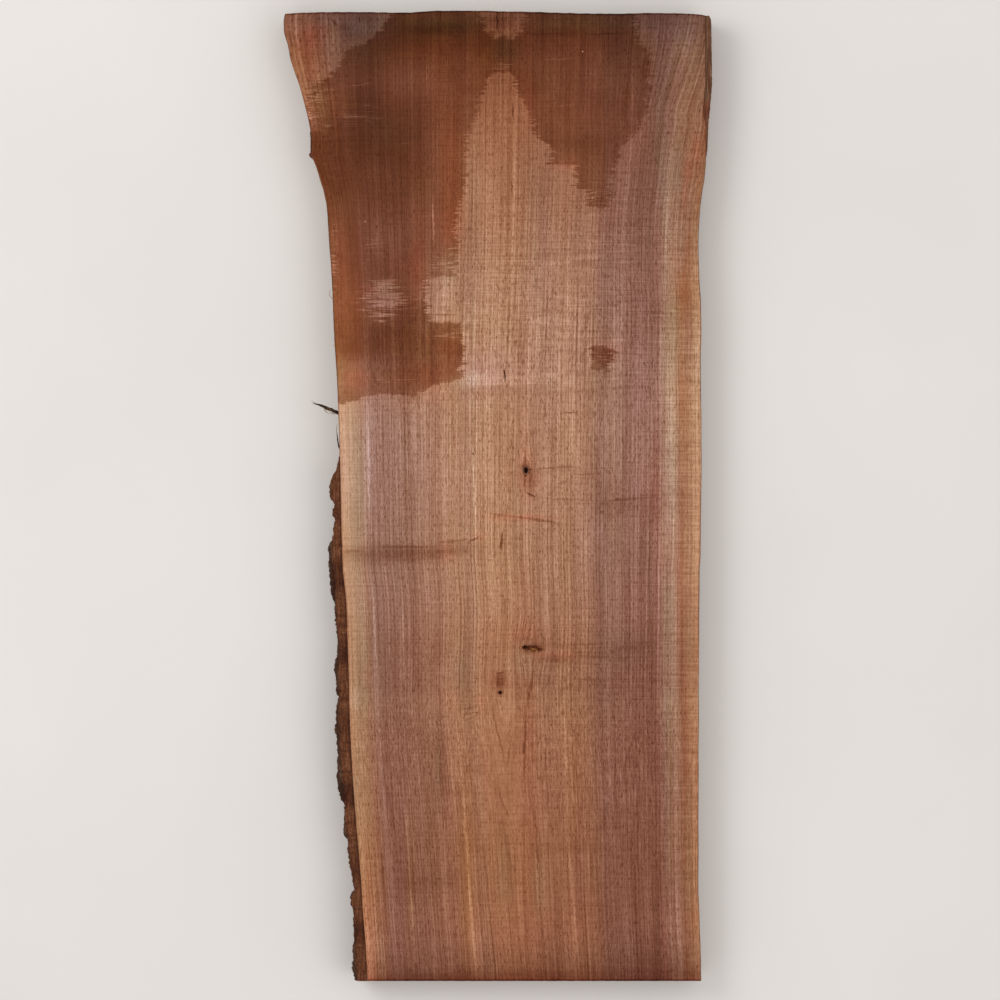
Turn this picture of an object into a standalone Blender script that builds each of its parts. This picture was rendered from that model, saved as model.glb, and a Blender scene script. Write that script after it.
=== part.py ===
"""A live-edge walnut slab lying on its sawn back face.

One wide plank, sawn lengthwise close beside the pith of a butt log, with the natural edge kept on
both sides. It lies face up: +Z is the sawn face, +Y points to the wide butt end and -Y to the
narrow end. Outlines are given in millimetres as (distance along Y, distance along X).
The origin is in the middle of the underside. All results are in metres.
"""
import math

import bmesh
import bpy
from mathutils import Vector

MM = 0.001

# Driving dimensions of the plank
LENGTH = 1220 * MM
THICKNESS = 54 * MM
LOG_RADIUS = 235 * MM
PITH_DEPTH = 14 * MM

# Natural edges of the front face, from the narrow end up to the flared butt end
LEFT_EDGE = [
    (-610, -164.8), (-583, -166.1), (-527, -170.1), (-451, -175.5), (-394, -180.6), (-300, -186.4),
    (-186, -189.6), (-130, -191.9), (-79, -196.6), (21, -198.7), (97, -200.7), (135, -202.2),
    (210, -206.6), (267, -208.8), (324, -212.8), (362, -215.3), (381, -218.5), (399, -223.9),
    (418, -229.9), (428, -233.9), (432, -234.7), (437, -235.1), (450, -235.1), (456, -235.7),
    (462, -236.4), (475, -238.8), (513, -248.8), (532, -254.8), (551, -261.2), (570, -265.1),
    (588, -269.8), (601, -270.1), (611, -267.8),
]
RIGHT_EDGE = [
    (-610, 257.4), (-583, 256.9), (-533, 254.8), (-483, 253.8), (-369, 253.8), (-224, 254.4),
    (-92, 254.9), (-73, 256.4), (40, 257.4), (116, 257.2), (173, 256.4), (210, 257.2),
    (248, 256.8), (267, 255.0), (299, 254.0), (324, 253.9), (355, 255.4), (374, 257.2),
    (387, 259.1), (399, 261.2), (412, 262.5), (425, 263.2), (437, 263.6), (471, 263.7),
    (478, 261.4), (488, 260.4), (507, 261.8), (525, 263.0), (608, 262.7),
]

# The butt end was cut by hand, so its line bows a little: (across X, further along Y)
BUTT_CUT = [
    (-268, -0.8), (-249, 0.3), (-209, 1.3), (-168, 1.3), (-118, 0.5), (-77, 2.8), (-17, 3.0),
    (3, 2.1), (43, 1.5), (74, 0.5), (104, -0.3), (144, -0.8), (195, 0.1), (235, -0.4),
    (255, -1.6), (264, -3.2),
]

# Bark left on the lower left edge: (along Y, thickness), with the ledges where plates broke off
LEFT_BARK = [
    (-610, 16.0), (-590, 18.3), (-583, 17.1), (-571, 18.0), (-562, 14.7), (-546, 12.2),
    (-520, 13.3), (-514, 16.0), (-506, 14.9), (-500, 11.6), (-498, 9.6), (-476, 10.4),
    (-464, 12.4), (-445, 13.4), (-432, 12.7), (-428, 16.4), (-409, 16.3), (-394, 12.9),
    (-387, 13.9), (-383, 17.6), (-369, 19.5), (-353, 20.9), (-346, 19.2), (-306, 17.4),
    (-297, 19.5), (-281, 17.7), (-262, 17.7), (-253, 14.5), (-243, 17.4), (-218, 18.2),
    (-205, 16.4), (-202, 13.8), (-186, 12.1), (-161, 13.7), (-135, 14.3), (-127, 16.9),
    (-105, 17.3), (-64, 17.2), (-60, 15.2), (-52, 11.4), (-29, 7.6), (-24, 12.1), (-16, 11.3),
    (-10, 9.0), (-4, 11.0), (0, 15.2), (15, 14.4), (28, 11.2), (33, 6.5), (42, 4.5), (47, 1.2),
    (51, 0.8),
]
RIDGE_PITCH = 15 * MM
RIDGE_WANDER = 4.5 * MM
RIDGE_WAVE = 88 * MM
FURROW_HALF_WIDTH = 3.6 * MM
FURROW_SHARE = 0.42
BARK_SHOULDER = 9 * MM

# Inner bark left on the upper right edge, torn off at its lower end
RIGHT_BARK = [
    (437, 1.0), (456, 1.8), (471, 2.4), (475, 4.0), (478, 5.9), (488, 7.6), (507, 7.6),
    (525, 7.3), (551, 7.4), (588, 7.0), (602, 6.4), (605, 5.0), (606.5, 2.6),
]

# Film of inner bark on the upper left edge, with a nub at its lower end
CHIP_FILM = [(428, 0.7), (437, 1.1), (450, 1.0), (458, 0.7)]
CHIP_DEPTH = THICKNESS / 2
NUB_PLACE = (430 * MM, 9 * MM)
NUB_HEIGHT = 4.0 * MM
NUB_SPREAD = (2.0 * MM, 4.5 * MM)

# Loose bast strands: (X, Y, Z, radius) along each, from the root outwards
SPLINTER = [
    (-202.2, 108.2, 45.0, 1.9), (-208.0, 109.2, 45.3, 1.8), (-214.2, 111.4, 45.8, 2.1),
    (-221.0, 114.2, 46.0, 1.5), (-227.0, 116.6, 45.8, 1.2), (-231.5, 118.2, 45.2, 0.5),
]
SLIVER = [
    (-201.0, 63.4, 47.0, 0.4), (-201.6, 69.0, 47.2, 0.65), (-202.0, 75.0, 47.4, 0.65),
    (-203.2, 82.4, 47.6, 0.4),
]

# Dark knots that have sunk below the face: (X, Y, half width, half height, sunk depth)
KNOTS = [
    (35.9, 34.1, 3.8, 5.6, 3.0),
    (44.7, -190.2, 11.3, 4.4, 1.6),
]

GAP = 0.3 * MM
STATION_STEP = 12 * MM
BARK_STEP = 8 * MM
CHIP_STEP = 2 * MM
EDGE_ROWS = 6
BARK_ROWS = 16
FILM_ROWS = 8


def smooth_value(points, at):
    """Read a smooth curve through (position, value) pairs, without overshoot between them."""
    points = [(p * MM, v * MM) for p, v in points]
    at = min(max(at, points[0][0]), points[-1][0])
    slopes = [(b[1] - a[1]) / (b[0] - a[0]) for a, b in zip(points, points[1:])]
    tangents = [slopes[0]]
    for before, after in zip(slopes, slopes[1:]):
        mean = 2 * before * after / (before + after) if before * after > 0 else 0.0
        tangents.append(mean)
    tangents.append(slopes[-1])
    index = max(i for i in range(len(slopes)) if points[i][0] <= at)
    (x0, v0), (x1, v1) = points[index], points[index + 1]
    span = x1 - x0
    t = (at - x0) / span
    rise = tangents[index] * span
    fall = tangents[index + 1] * span
    return (v0 * (2 * t**3 - 3 * t**2 + 1) + rise * (t**3 - 2 * t**2 + t)
            + v1 * (3 * t**2 - 2 * t**3) + fall * (t**3 - t**2))


def straight_value(points, at):
    """Read a line of straight runs through (position, value) pairs, which keeps ledges sharp."""
    points = [(p * MM, v * MM) for p, v in points]
    at = min(max(at, points[0][0]), points[-1][0])
    index = max(i for i in range(len(points) - 1) if points[i][0] <= at)
    (x0, v0), (x1, v1) = points[index], points[index + 1]
    return v0 + (v1 - v0) * (at - x0) / (x1 - x0)


def ease(t):
    """Go from 0 to 1 with a soft start and end."""
    t = min(max(t, 0.0), 1.0)
    return t * t * (3 - 2 * t)


def stations_between(low, high, step, outline):
    """Regular stations along the length, joined by the outline's own points."""
    own = [p * MM for p, _ in outline if low < p * MM < high]
    count = max(1, round((high - low) / step))
    regular = [low + (high - low) * i / count for i in range(1, count)]
    free = [s for s in regular if all(abs(s - p) > step / 3 for p in own)]
    return [low] + sorted(own + free) + [high]


def edge_offset(along, depth, side):
    """How far the natural edge stands out from the front arris at a depth below the front face."""
    reach = depth - PITH_DEPTH
    round_of_log = (math.sqrt(LOG_RADIUS**2 - reach**2)
                    - math.sqrt(LOG_RADIUS**2 - PITH_DEPTH**2))
    flare = ease((along - 330 * MM) / (200 * MM))
    flute_depth = (1.4 + 3.0 * flare) * MM
    phase = 0.9 if side < 0 else 2.6
    wave = 0.5 - 0.5 * math.cos(along / (61 * MM) + depth / (21 * MM) + phase)
    hollow = flute_depth * wave * math.sin(math.pi * min(depth / THICKNESS, 1.0))
    return round_of_log - hollow


def live_edge(along, depth, side):
    """X of the natural edge of the wood; side is -1 for the left edge and +1 for the right."""
    outline = LEFT_EDGE if side < 0 else RIGHT_EDGE
    return smooth_value(outline, along) + side * edge_offset(along, depth, side)


def butt_end(across):
    """Y of the butt end's saw cut."""
    return LENGTH / 2 + smooth_value(BUTT_CUT, across)


def front_height(depth):
    return THICKNESS - depth


def new_material(name, hex_colour, roughness):
    """A plain surface with the piece's own colour, given as sRGB hex."""
    material = bpy.data.materials.new(name)
    material.use_nodes = True
    shader = material.node_tree.nodes["Principled BSDF"]
    channels = [int(hex_colour[i:i + 2], 16) / 255 for i in (0, 2, 4)]
    linear = [c / 12.92 if c <= 0.04045 else ((c + 0.055) / 1.055) ** 2.4 for c in channels]
    shader.inputs["Base Color"].default_value = (*linear, 1.0)
    shader.inputs["Roughness"].default_value = roughness
    shader.inputs["Metallic"].default_value = 0.0
    return material


def add_mesh_object(name, bm, collection, material):
    """Turn finished geometry into a named object with its faces pointing out."""
    bmesh.ops.recalc_face_normals(bm, faces=bm.faces)
    mesh = bpy.data.meshes.new(name)
    bm.to_mesh(mesh)
    bm.free()
    mesh.shade_smooth()
    mesh.set_sharp_from_angle(angle=math.radians(35))
    mesh.materials.append(material)
    piece = bpy.data.objects.new(name, mesh)
    collection.objects.link(piece)
    return piece


def edge_grid(bm, side):
    """The natural edge as columns of points, each running from the front face to the back."""
    outline = LEFT_EDGE if side < 0 else RIGHT_EDGE
    columns = []
    top = butt_end(outline[-1][1] * MM)
    for along in stations_between(-LENGTH / 2, top, STATION_STEP, outline):
        column = []
        for row in range(EDGE_ROWS + 1):
            depth = THICKNESS * row / EDGE_ROWS
            place = Vector((live_edge(along, depth, side), along, front_height(depth)))
            column.append(bm.verts.new(place))
        columns.append(column)
    for near, far in zip(columns, columns[1:]):
        for row in range(EDGE_ROWS):
            bm.faces.new((near[row], far[row], far[row + 1], near[row + 1]))
    return columns


def make_slab(collection, material):
    """The plank: two natural edges lofted along its length, closed by sawn faces."""
    bm = bmesh.new()
    left = edge_grid(bm, -1)
    right = edge_grid(bm, 1)
    cut_front = []
    cut_back = []
    for across, _ in BUTT_CUT[1:-1]:
        along = butt_end(across * MM)
        cut_front.append(bm.verts.new((across * MM, along, THICKNESS)))
        cut_back.append(bm.verts.new((across * MM, along, 0.0)))
    left_front = [column[0] for column in left]
    left_back = [column[-1] for column in left]
    right_front = [column[0] for column in right]
    right_back = [column[-1] for column in right]
    bm.faces.new(left_front + cut_front + right_front[::-1])
    bm.faces.new(left_back[::-1] + right_back + cut_back[::-1])
    bm.faces.new(left[0][::-1] + right[0])
    bm.faces.new(left[-1] + [cut_back[0], cut_front[0]])
    for i in range(len(cut_front) - 1):
        bm.faces.new((cut_front[i], cut_back[i], cut_back[i + 1], cut_front[i + 1]))
    bm.faces.new(right[-1] + [cut_back[-1], cut_front[-1]])
    return add_mesh_object("slab", bm, collection, material)


def make_knot_cutters(collection):
    """A shallow bowl for each sunken knot."""
    cutters = []
    for number, (across, along, half_width, half_height, sunk) in enumerate(KNOTS, start=1):
        bm = bmesh.new()
        bmesh.ops.create_uvsphere(bm, u_segments=16, v_segments=8, radius=1.0)
        bmesh.ops.scale(bm, vec=(half_width * MM, half_height * MM, sunk * MM), verts=bm.verts)
        bmesh.ops.translate(bm, vec=(across * MM, along * MM, THICKNESS), verts=bm.verts)
        mesh = bpy.data.meshes.new(f"knot_cutter_{number}")
        bm.to_mesh(mesh)
        bm.free()
        cutter = bpy.data.objects.new(f"knot_cutter_{number}", mesh)
        cutter.hide_render = True
        cutter.display_type = "WIRE"
        collection.objects.link(cutter)
        cutters.append(cutter)
    return cutters


def cut_knots(slab, cutters):
    for cutter in cutters:
        cut = slab.modifiers.new(cutter.name, "BOOLEAN")
        cut.operation = "DIFFERENCE"
        cut.object = cutter


def furrow_amount(along, depth):
    """1 at the bottom of a furrow and 0 on a ridge; neighbouring furrows weave in and out."""
    deepest = 0.0
    for number in range(-1, round(THICKNESS / RIDGE_PITCH) + 2):
        swing = math.sin(2 * math.pi * along / RIDGE_WAVE + math.pi * number + 0.4 * number)
        middle = (number + 0.55) * RIDGE_PITCH + RIDGE_WANDER * swing
        away = (depth - middle) / FURROW_HALF_WIDTH
        fading = 0.7 + 0.3 * math.sin(along / (23 * MM) + 1.7 * number)
        deepest = max(deepest, fading * math.exp(-away * away))
    return deepest


def left_bark_thickness(along, depth):
    """Ridged outer bark: full thickness on the ridges, rounded off towards both sawn faces."""
    here = straight_value(LEFT_BARK, along)
    slanted = straight_value(LEFT_BARK, along - 0.7 * max(depth - BARK_SHOULDER, 0.0))
    full = min(here, 0.3 * here + 0.7 * slanted)
    sawn_share = 0.78 + 0.16 * math.sin(along / (34 * MM)) * math.sin(along / (13 * MM) + 1.0)
    from_face = min(depth, THICKNESS - depth)
    rounding = sawn_share + (1 - sawn_share) * ease(from_face / BARK_SHOULDER)
    furrow = FURROW_SHARE * furrow_amount(along, depth) * ease((full / MM - 2) / 6)
    return max(full * (rounding - furrow), 0.7 * MM)


def right_bark_thickness(along, depth):
    """Smooth inner bark with shallow grooves along its fibres."""
    full = straight_value(RIGHT_BARK, along)
    groove = 0.5 + 0.5 * math.sin(depth / (2.4 * MM) + 1.3 * math.sin(along / (30 * MM)))
    return max(full * (1 - 0.16 * groove), 0.7 * MM)


def chip_thickness(along, depth):
    """A thin film with one pointed nub."""
    film = straight_value(CHIP_FILM, along)
    across = (along - NUB_PLACE[0]) / NUB_SPREAD[0]
    down = (depth - NUB_PLACE[1]) / NUB_SPREAD[1]
    return film + NUB_HEIGHT * max(0.0, 1 - abs(across)) * max(0.0, 1 - abs(down))


def skin_ring(bm, along, side, thickness_at, deepest, outer_rows, tear):
    """One closed section through a bark remnant, a small gap away from the wood."""
    ring = []
    inner_rows = max(2, round(EDGE_ROWS * deepest / THICKNESS))
    for row in range(inner_rows + 1):
        depth = deepest * row / inner_rows
        place = along - tear(along, depth)
        across = live_edge(place, depth, side) + side * GAP
        ring.append(bm.verts.new((across, place, front_height(depth))))
    for row in range(outer_rows, -1, -1):
        depth = deepest * row / outer_rows
        place = along - tear(along, depth)
        across = live_edge(place, depth, side) + side * (GAP + thickness_at(along, depth))
        ring.append(bm.verts.new((across, place, front_height(depth))))
    return ring


def make_skin(name, collection, material, outline, side, thickness_at, deepest=THICKNESS,
              outer_rows=FILM_ROWS, step=STATION_STEP, tear=lambda along, depth: 0.0):
    """Loft a remnant of bark along the natural edge it grew on."""
    bm = bmesh.new()
    low = outline[0][0] * MM
    high = outline[-1][0] * MM
    rings = [skin_ring(bm, along, side, thickness_at, deepest, outer_rows, tear)
             for along in stations_between(low, high, step, outline)]
    for near, far in zip(rings, rings[1:]):
        for i in range(len(near)):
            j = (i + 1) % len(near)
            bm.faces.new((near[i], near[j], far[j], far[i]))
    bm.faces.new(rings[0][::-1])
    bm.faces.new(rings[-1])
    return add_mesh_object(name, bm, collection, material)


def upper_tear(along, depth):
    """The bark's upper end is torn: deeper layers end a little lower."""
    near_end = ease((along / MM + 30) / 80)
    ragged = 7 * MM * (1 - math.cos(depth / (6.5 * MM))) + 0.25 * depth
    return near_end * ragged


def right_tear(along, depth):
    """The inner bark's lower end is torn: strips of it run on further down at some depths."""
    near_end = 1 - ease((along / MM - 437) / 30)
    return near_end * 8 * MM * (1 - math.cos(depth / (5.2 * MM)))


def chip_tear(along, depth):
    """The film's outline slants and waves across the edge."""
    return 0.3 * depth * math.sin(along / (9 * MM)) + 2 * MM * math.sin(depth / (4 * MM))


def smooth_route(points, steps):
    """A smooth run of (X, Y, Z, radius) points through the given ones."""
    route = []
    padded = [points[0]] + points + [points[-1]]
    for a, b, c, d in zip(padded, padded[1:], padded[2:], padded[3:]):
        for step in range(steps):
            t = step / steps
            route.append([0.5 * (2 * q + (r - p) * t + (2 * p - 5 * q + 4 * r - s) * t * t
                                 + (3 * q - p - 3 * r + s) * t**3)
                          for p, q, r, s in zip(a, b, c, d)])
    route.append(points[-1])
    return route


def make_strand(name, points, collection, material):
    """A loose strand of bast as a tapering tube."""
    curve = bpy.data.curves.new(name, "CURVE")
    curve.dimensions = "3D"
    curve.bevel_depth = MM
    curve.bevel_resolution = 2
    curve.use_fill_caps = True
    spline = curve.splines.new("POLY")
    route = smooth_route(points, 2)
    spline.points.add(len(route) - 1)
    for point, (x, y, z, radius) in zip(spline.points, route):
        point.co = (x * MM, y * MM, z * MM, 1.0)
        point.radius = radius
    curve.materials.append(material)
    strand = bpy.data.objects.new(name, curve)
    collection.objects.link(strand)
    return strand


def clear_scene():
    for old in list(bpy.data.objects):
        bpy.data.objects.remove(old, do_unlink=True)


def new_collection(name):
    collection = bpy.data.collections.new(name)
    bpy.context.scene.collection.children.link(collection)
    return collection


def main():
    clear_scene()
    pieces = new_collection("walnut_slab")
    cutters = new_collection("cutters")
    wood = new_material("walnut_wood", "966249", 0.72)
    bark = new_material("walnut_bark", "4a2f20", 0.92)
    bast = new_material("walnut_bast", "5a3825", 0.80)
    slab = make_slab(pieces, wood)
    cut_knots(slab, make_knot_cutters(cutters))
    make_skin("bark_left", pieces, bark, LEFT_BARK, -1, left_bark_thickness,
              outer_rows=BARK_ROWS, step=BARK_STEP, tear=upper_tear)
    make_skin("bark_right", pieces, bast, RIGHT_BARK, 1, right_bark_thickness, tear=right_tear)
    make_skin("bark_chip", pieces, bast, CHIP_FILM, -1, chip_thickness, deepest=CHIP_DEPTH,
              step=CHIP_STEP, tear=chip_tear)
    make_strand("bast_splinter", SPLINTER, pieces, bast)
    make_strand("bast_sliver", SLIVER, pieces, bast)


main()
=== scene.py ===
"""The looks of a live-edge walnut slab: rough-sawn wood, remnants of bark, loose bast and a studio.

The slab lies face up. +Y points to the butt end of the log and +Z is the sawn face.
The tables below are in millimetres, and MM turns them into metres.
"""
import math
from contextlib import contextmanager

import bmesh
import bpy
import numpy as np
from bpy.props import FloatProperty, FloatVectorProperty, IntProperty, PointerProperty
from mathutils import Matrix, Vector, noise


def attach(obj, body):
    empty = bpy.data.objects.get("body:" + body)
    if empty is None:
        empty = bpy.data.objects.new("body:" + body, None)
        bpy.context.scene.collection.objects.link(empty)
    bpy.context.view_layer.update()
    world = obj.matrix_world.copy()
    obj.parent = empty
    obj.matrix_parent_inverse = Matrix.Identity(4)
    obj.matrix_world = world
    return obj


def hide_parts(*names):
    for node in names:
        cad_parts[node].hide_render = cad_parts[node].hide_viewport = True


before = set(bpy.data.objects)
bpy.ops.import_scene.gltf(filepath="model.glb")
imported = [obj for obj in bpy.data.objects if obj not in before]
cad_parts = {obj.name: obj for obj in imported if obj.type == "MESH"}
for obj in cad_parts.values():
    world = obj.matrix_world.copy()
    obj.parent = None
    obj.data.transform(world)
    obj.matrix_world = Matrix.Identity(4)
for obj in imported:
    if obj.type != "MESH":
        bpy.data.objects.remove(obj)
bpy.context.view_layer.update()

bl_info = {
    "name": "Live-edge walnut slab",
    "version": (1, 0, 0),
    "blender": (4, 5, 0),
    "location": "View3D > Sidebar > Walnut slab",
    "description": "Dresses a live-edge walnut slab and sets it in a plain studio",
    "category": "Object",
}

MM = 0.001
# Most of the noise texture's values lie between these
NOISE_LOW = 0.3
NOISE_HIGH = 0.7

# The plank. HALF_WIDTH is from the pith to either edge, before the butt flares
LENGTH = 1220
THICKNESS = 54
LOG_RADIUS = 235
PITH_DEPTH = 14
HALF_WIDTH = 228
RING_WIDTH = 4.4
# The butt flares from one Y over a length, to so many times the nominal width
WIDEST = 1.15
FLARE_START = 330
FLARE_LENGTH = 200
# Shallow flutes under the bark: depth, extra depth in the flare, and mm to a radian of their wave
FLUTE_DEPTH = 1.4
FLUTE_IN_FLARE = 3
FLUTE_LENGTH = 61
FLUTE_HEIGHT = 21
# How far each saw cut's shape reaches along the plank, and how far the saws strayed
BUTT_REACH = 70
FOOT_REACH = 20
SAW_WANDER = 0.5
# The outermost share of the width, where the arris is torn, and by how much
TORN_SHARE = 0.012
TORN_DEPTH = 0.5

# Natural edges of the front face: (along Y, across X)
LEFT_EDGE = [
    (-610, -164.8), (-583, -166.1), (-527, -170.1), (-451, -175.5), (-394, -180.6), (-300, -186.4),
    (-186, -189.6), (-130, -191.9), (-79, -196.6), (21, -198.7), (97, -200.7), (135, -202.2),
    (210, -206.6), (267, -208.8), (324, -212.8), (362, -215.3), (381, -218.5), (399, -223.9),
    (418, -229.9), (428, -233.9), (432, -234.7), (437, -235.1), (450, -235.1), (456, -235.7),
    (462, -236.4), (475, -238.8), (513, -248.8), (532, -254.8), (551, -261.2), (570, -265.1),
    (588, -269.8), (601, -270.1), (611, -267.8),
]
RIGHT_EDGE = [
    (-610, 257.4), (-583, 256.9), (-533, 254.8), (-483, 253.8), (-369, 253.8), (-224, 254.4),
    (-92, 254.9), (-73, 256.4), (40, 257.4), (116, 257.2), (173, 256.4), (210, 257.2),
    (248, 256.8), (267, 255), (299, 254), (324, 253.9), (355, 255.4), (374, 257.2), (387, 259.1),
    (399, 261.2), (412, 262.5), (425, 263.2), (437, 263.6), (471, 263.7), (478, 261.4),
    (488, 260.4), (507, 261.8), (525, 263), (608, 262.7),
]
BUTT_CUT = [
    (-268, -0.8), (-249, 0.3), (-209, 1.3), (-168, 1.3), (-118, 0.5), (-77, 2.8), (-17, 3),
    (3, 2.1), (43, 1.5), (74, 0.5), (104, -0.3), (144, -0.8), (195, 0.1), (235, -0.4), (255, -1.6),
    (264, -3.2),
]

# X of the left edge where it begins to swell towards the butt
LEFT_BEFORE_SWELL = -215
# Where the rings lean out at the butt's right corner: (lean, low Y, height, inner X, width)
RIGHT_LEANS = [(27, 400, 210, 129, 113), (14, 470, 200, 205, 50)]
# Where the sapwood is thinner: (by what share of the half width, low Y, height, inner share, width)
SAPWOOD_SHIFTS = [(0.07, 230, 140, 0.82, 0.08), (0.025, -60, -300, 0.7, 0.06)]
# The right sapwood, as shares of the half width, and its curl
SAPWOOD_START = 0.78
SAPWOOD_BLEND = 0.12
CURL_INSIDE = 0.012
CURL_IN_SAPWOOD = 0.04

# The pith: (along Y, across X), and (along Y, depth below the face)
PITH = [
    (-610, 29.6), (-508, 22.1), (-407, 17), (-338, 12), (-243, 5.7), (-142, 9.5), (-54, 5.7),
    (154, 8.2), (387, 17), (609, 18.3),
]
PITH_SINK = [(-610, 24), (-450, 22.5), (-407, 21), (-338, 17), (-256, 8), (-228, 8.5), (610, 10)]

# Knots on the face: (X, Y, half width, half height, depth of the hollow)
KNOTS = [
    (35.9, 34.1, 3.8, 5.6, 3), (44.7, -190.2, 11.3, 4.4, 1.6), (3.2, -246.2, 3.2, 3.4, 1.4),
]
# A knot wider than this keeps its core, up to a share of the hollow's depth
WIDE_KNOT = 8
CORE_SHARE = 0.75
# The grain bends round a knot by a share of its distance, this far beside, above and below it
KNOT_BEND = 0.62
KNOT_BESIDE = 7
KNOT_ABOVE = 24

# Bark thickness along Y, with the ledges where plates broke off
LEFT_BARK = [
    (-610, 16), (-590, 18.3), (-583, 17.1), (-571, 18), (-562, 14.7), (-546, 12.2), (-520, 13.3),
    (-514, 16), (-506, 14.9), (-500, 11.6), (-498, 9.6), (-476, 10.4), (-464, 12.4), (-445, 13.4),
    (-432, 12.7), (-428, 16.4), (-409, 16.3), (-394, 12.9), (-387, 13.9), (-383, 17.6),
    (-369, 19.5), (-353, 20.9), (-346, 19.2), (-306, 17.4), (-297, 19.5), (-281, 17.7),
    (-262, 17.7), (-253, 14.5), (-243, 17.4), (-218, 18.2), (-205, 16.4), (-202, 13.8),
    (-186, 12.1), (-161, 13.7), (-135, 14.3), (-127, 16.9), (-105, 17.3), (-64, 17.2), (-60, 15.2),
    (-52, 11.4), (-29, 7.6), (-24, 12.1), (-16, 11.3), (-10, 9), (-4, 11), (0, 15.2), (15, 14.4),
    (28, 11.2), (33, 6.5), (42, 4.5), (47, 1.2), (51, 0.8),
]
# Ridges and furrows: how far apart, how they weave along Y, and how far they stray from that
RIDGE_PITCH = 15
RIDGE_WAVE = 88
RIDGE_WANDER = 4.5
STRAY_ALONG = 13
STRAY_DOWN = 2.8
# A furrow's half width, its depth as a share of the bark's, and the depth of the finer cracks
FURROW_HALF_WIDTH = 3.6
FURROW_SHARE = 0.42
CRACK_DEPTH = 1.4
# How far below the sawn faces the bark reaches its full thickness
BARK_SHOULDER = 9
# Bark reaches a little into the wood, so that no light gets through the seam
BARK_OVERLAP = 0.6
# Inner bark on the right edge: its thickness along Y
RIGHT_BARK = [
    (437, 1), (456, 1.8), (471, 2.4), (475, 4), (478, 5.9), (488, 7.6), (507, 7.6), (525, 7.3),
    (551, 7.4), (588, 7), (602, 6.4), (605, 5), (606.5, 2.6),
]
# The chip: its thickness along Y, how far down it reaches, and its nub at (Y, depth)
CHIP_FILM = [(428, 0.3), (434, 0.6), (447, 0.5), (459, 0.3)]
CHIP_DEPTH = 27
NUB_PLACE = (430.5, 9)
NUB_HEIGHT = 4.2

# Loose strands as points of X, Y, Z from the root outwards, and how freshly torn they are
STRAND_TORN = 0.2
SPLINTER = [(-198.6, 105.6, 45.2), (-208, 109.4, 45.6), (-215, 112.2, 46), (-222, 115.2, 46),
            (-231.4, 118.0, 45.4)]
SLIVER = [(-199.6, 61.5, 47.2), (-201.2, 68.5, 47.4), (-202.0, 75.5, 47.6), (-203.2, 82.6, 47.6)]
HAIRS = [
    [(-228.5, 117.6, 46), (-232.0, 120.0, 46.5), (-235.4, 121.8, 46.5)],
    [(-229.5, 117.0, 45.5), (-233.0, 118.4, 45.0), (-234.6, 119.6, 44.5)],
    [(-217.6, 111.0, 46), (-215.4, 107.2, 46.5), (-211.6, 104.3, 46.5)],
    [(-213.0, 110.0, 46), (-209.6, 105.6, 46), (-205.2, 104.2, 45.5)],
    [(-219.4, 112.0, 45), (-217.8, 108.4, 44.5), (-213.6, 106.0, 44.5)],
    [(-210.0, 108.6, 46), (-206.8, 105.0, 46.5), (-204.0, 105.8, 47)],
    [(-202.8, 81.4, 47.8), (-203.2, 87.0, 48.2), (-202.2, 91.5, 48.4)],
    [(-207.2, 250.0, 47), (-211.8, 254.4, 48), (-211.4, 259.6, 48.5), (-210.6, 262.0, 48.5)],
    [(-202.2, 190.4, 47), (-205.6, 191.6, 47.5), (-207.0, 190.0, 47.6)],
]

# Where water has darkened the butt end: one outline on the face, open over the saw cut
WATER_STAIN = [
    (-131.7, 625), (-131.7, 608.6), (-149.3, 588.5), (-169.5, 570.8), (-194.7, 563.3),
    (-197.2, 546), (-213, 531), (-232, 520), (-238, 498), (-241, 478), (-252, 465), (-262, 424),
    (-245, 374), (-230, 248), (-220, 118), (-198.4, 117.9), (-182.1, 119.8), (-165.7, 126.1),
    (-144.3, 130.5), (-117.8, 128), (-101.4, 126.7), (-90.1, 134.9), (-77.5, 141.2),
    (-57.3, 146.2), (-45.4, 150), (-43, 163.9), (-41.8, 180.5), (-44.2, 204.2), (-45.4, 219.3),
    (-84.5, 220.9), (-86.9, 228.1), (-86.9, 239.9), (-91.7, 263.8), (-86.9, 276), (-53.5, 278),
    (-51, 311.3), (-51.7, 355.4), (-44.7, 373), (-41.6, 380.6), (-39.1, 399.5), (-39.7, 429.7),
    (-37.2, 454.9), (-29.6, 472.6), (-25.2, 486.4), (-19.5, 507.8), (-13, 524), (-7, 534),
    (17, 535), (22, 524), (25, 513), (32.1, 497.8), (39.7, 482.6), (46, 458), (64.9, 442.3),
    (65.5, 432.2), (68.7, 419.6), (97.7, 417.8), (101.9, 403.5), (97.7, 389.4), (113.4, 383.5),
    (116.3, 374.9), (110.3, 366.7), (133.4, 363.5), (140.5, 369.2), (143, 403.3), (151.8, 426.5),
    (159.4, 443.6), (174.5, 461.2), (189.6, 485.2), (194.7, 512.9), (192.2, 563.3), (178.3, 579.7),
    (172, 603.6), (172, 625), (40, 625), (33, 603), (26, 588), (18, 579), (-3, 581), (-12, 590),
    (-22, 603), (-28, 625),
]
STAIN_SPOT = [
    (116.6, 191.6), (143, 190.3), (148, 180.2), (144.3, 171.4), (139.2, 158.8), (120.3, 158.8),
    (115.3, 175.2),
]

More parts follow.
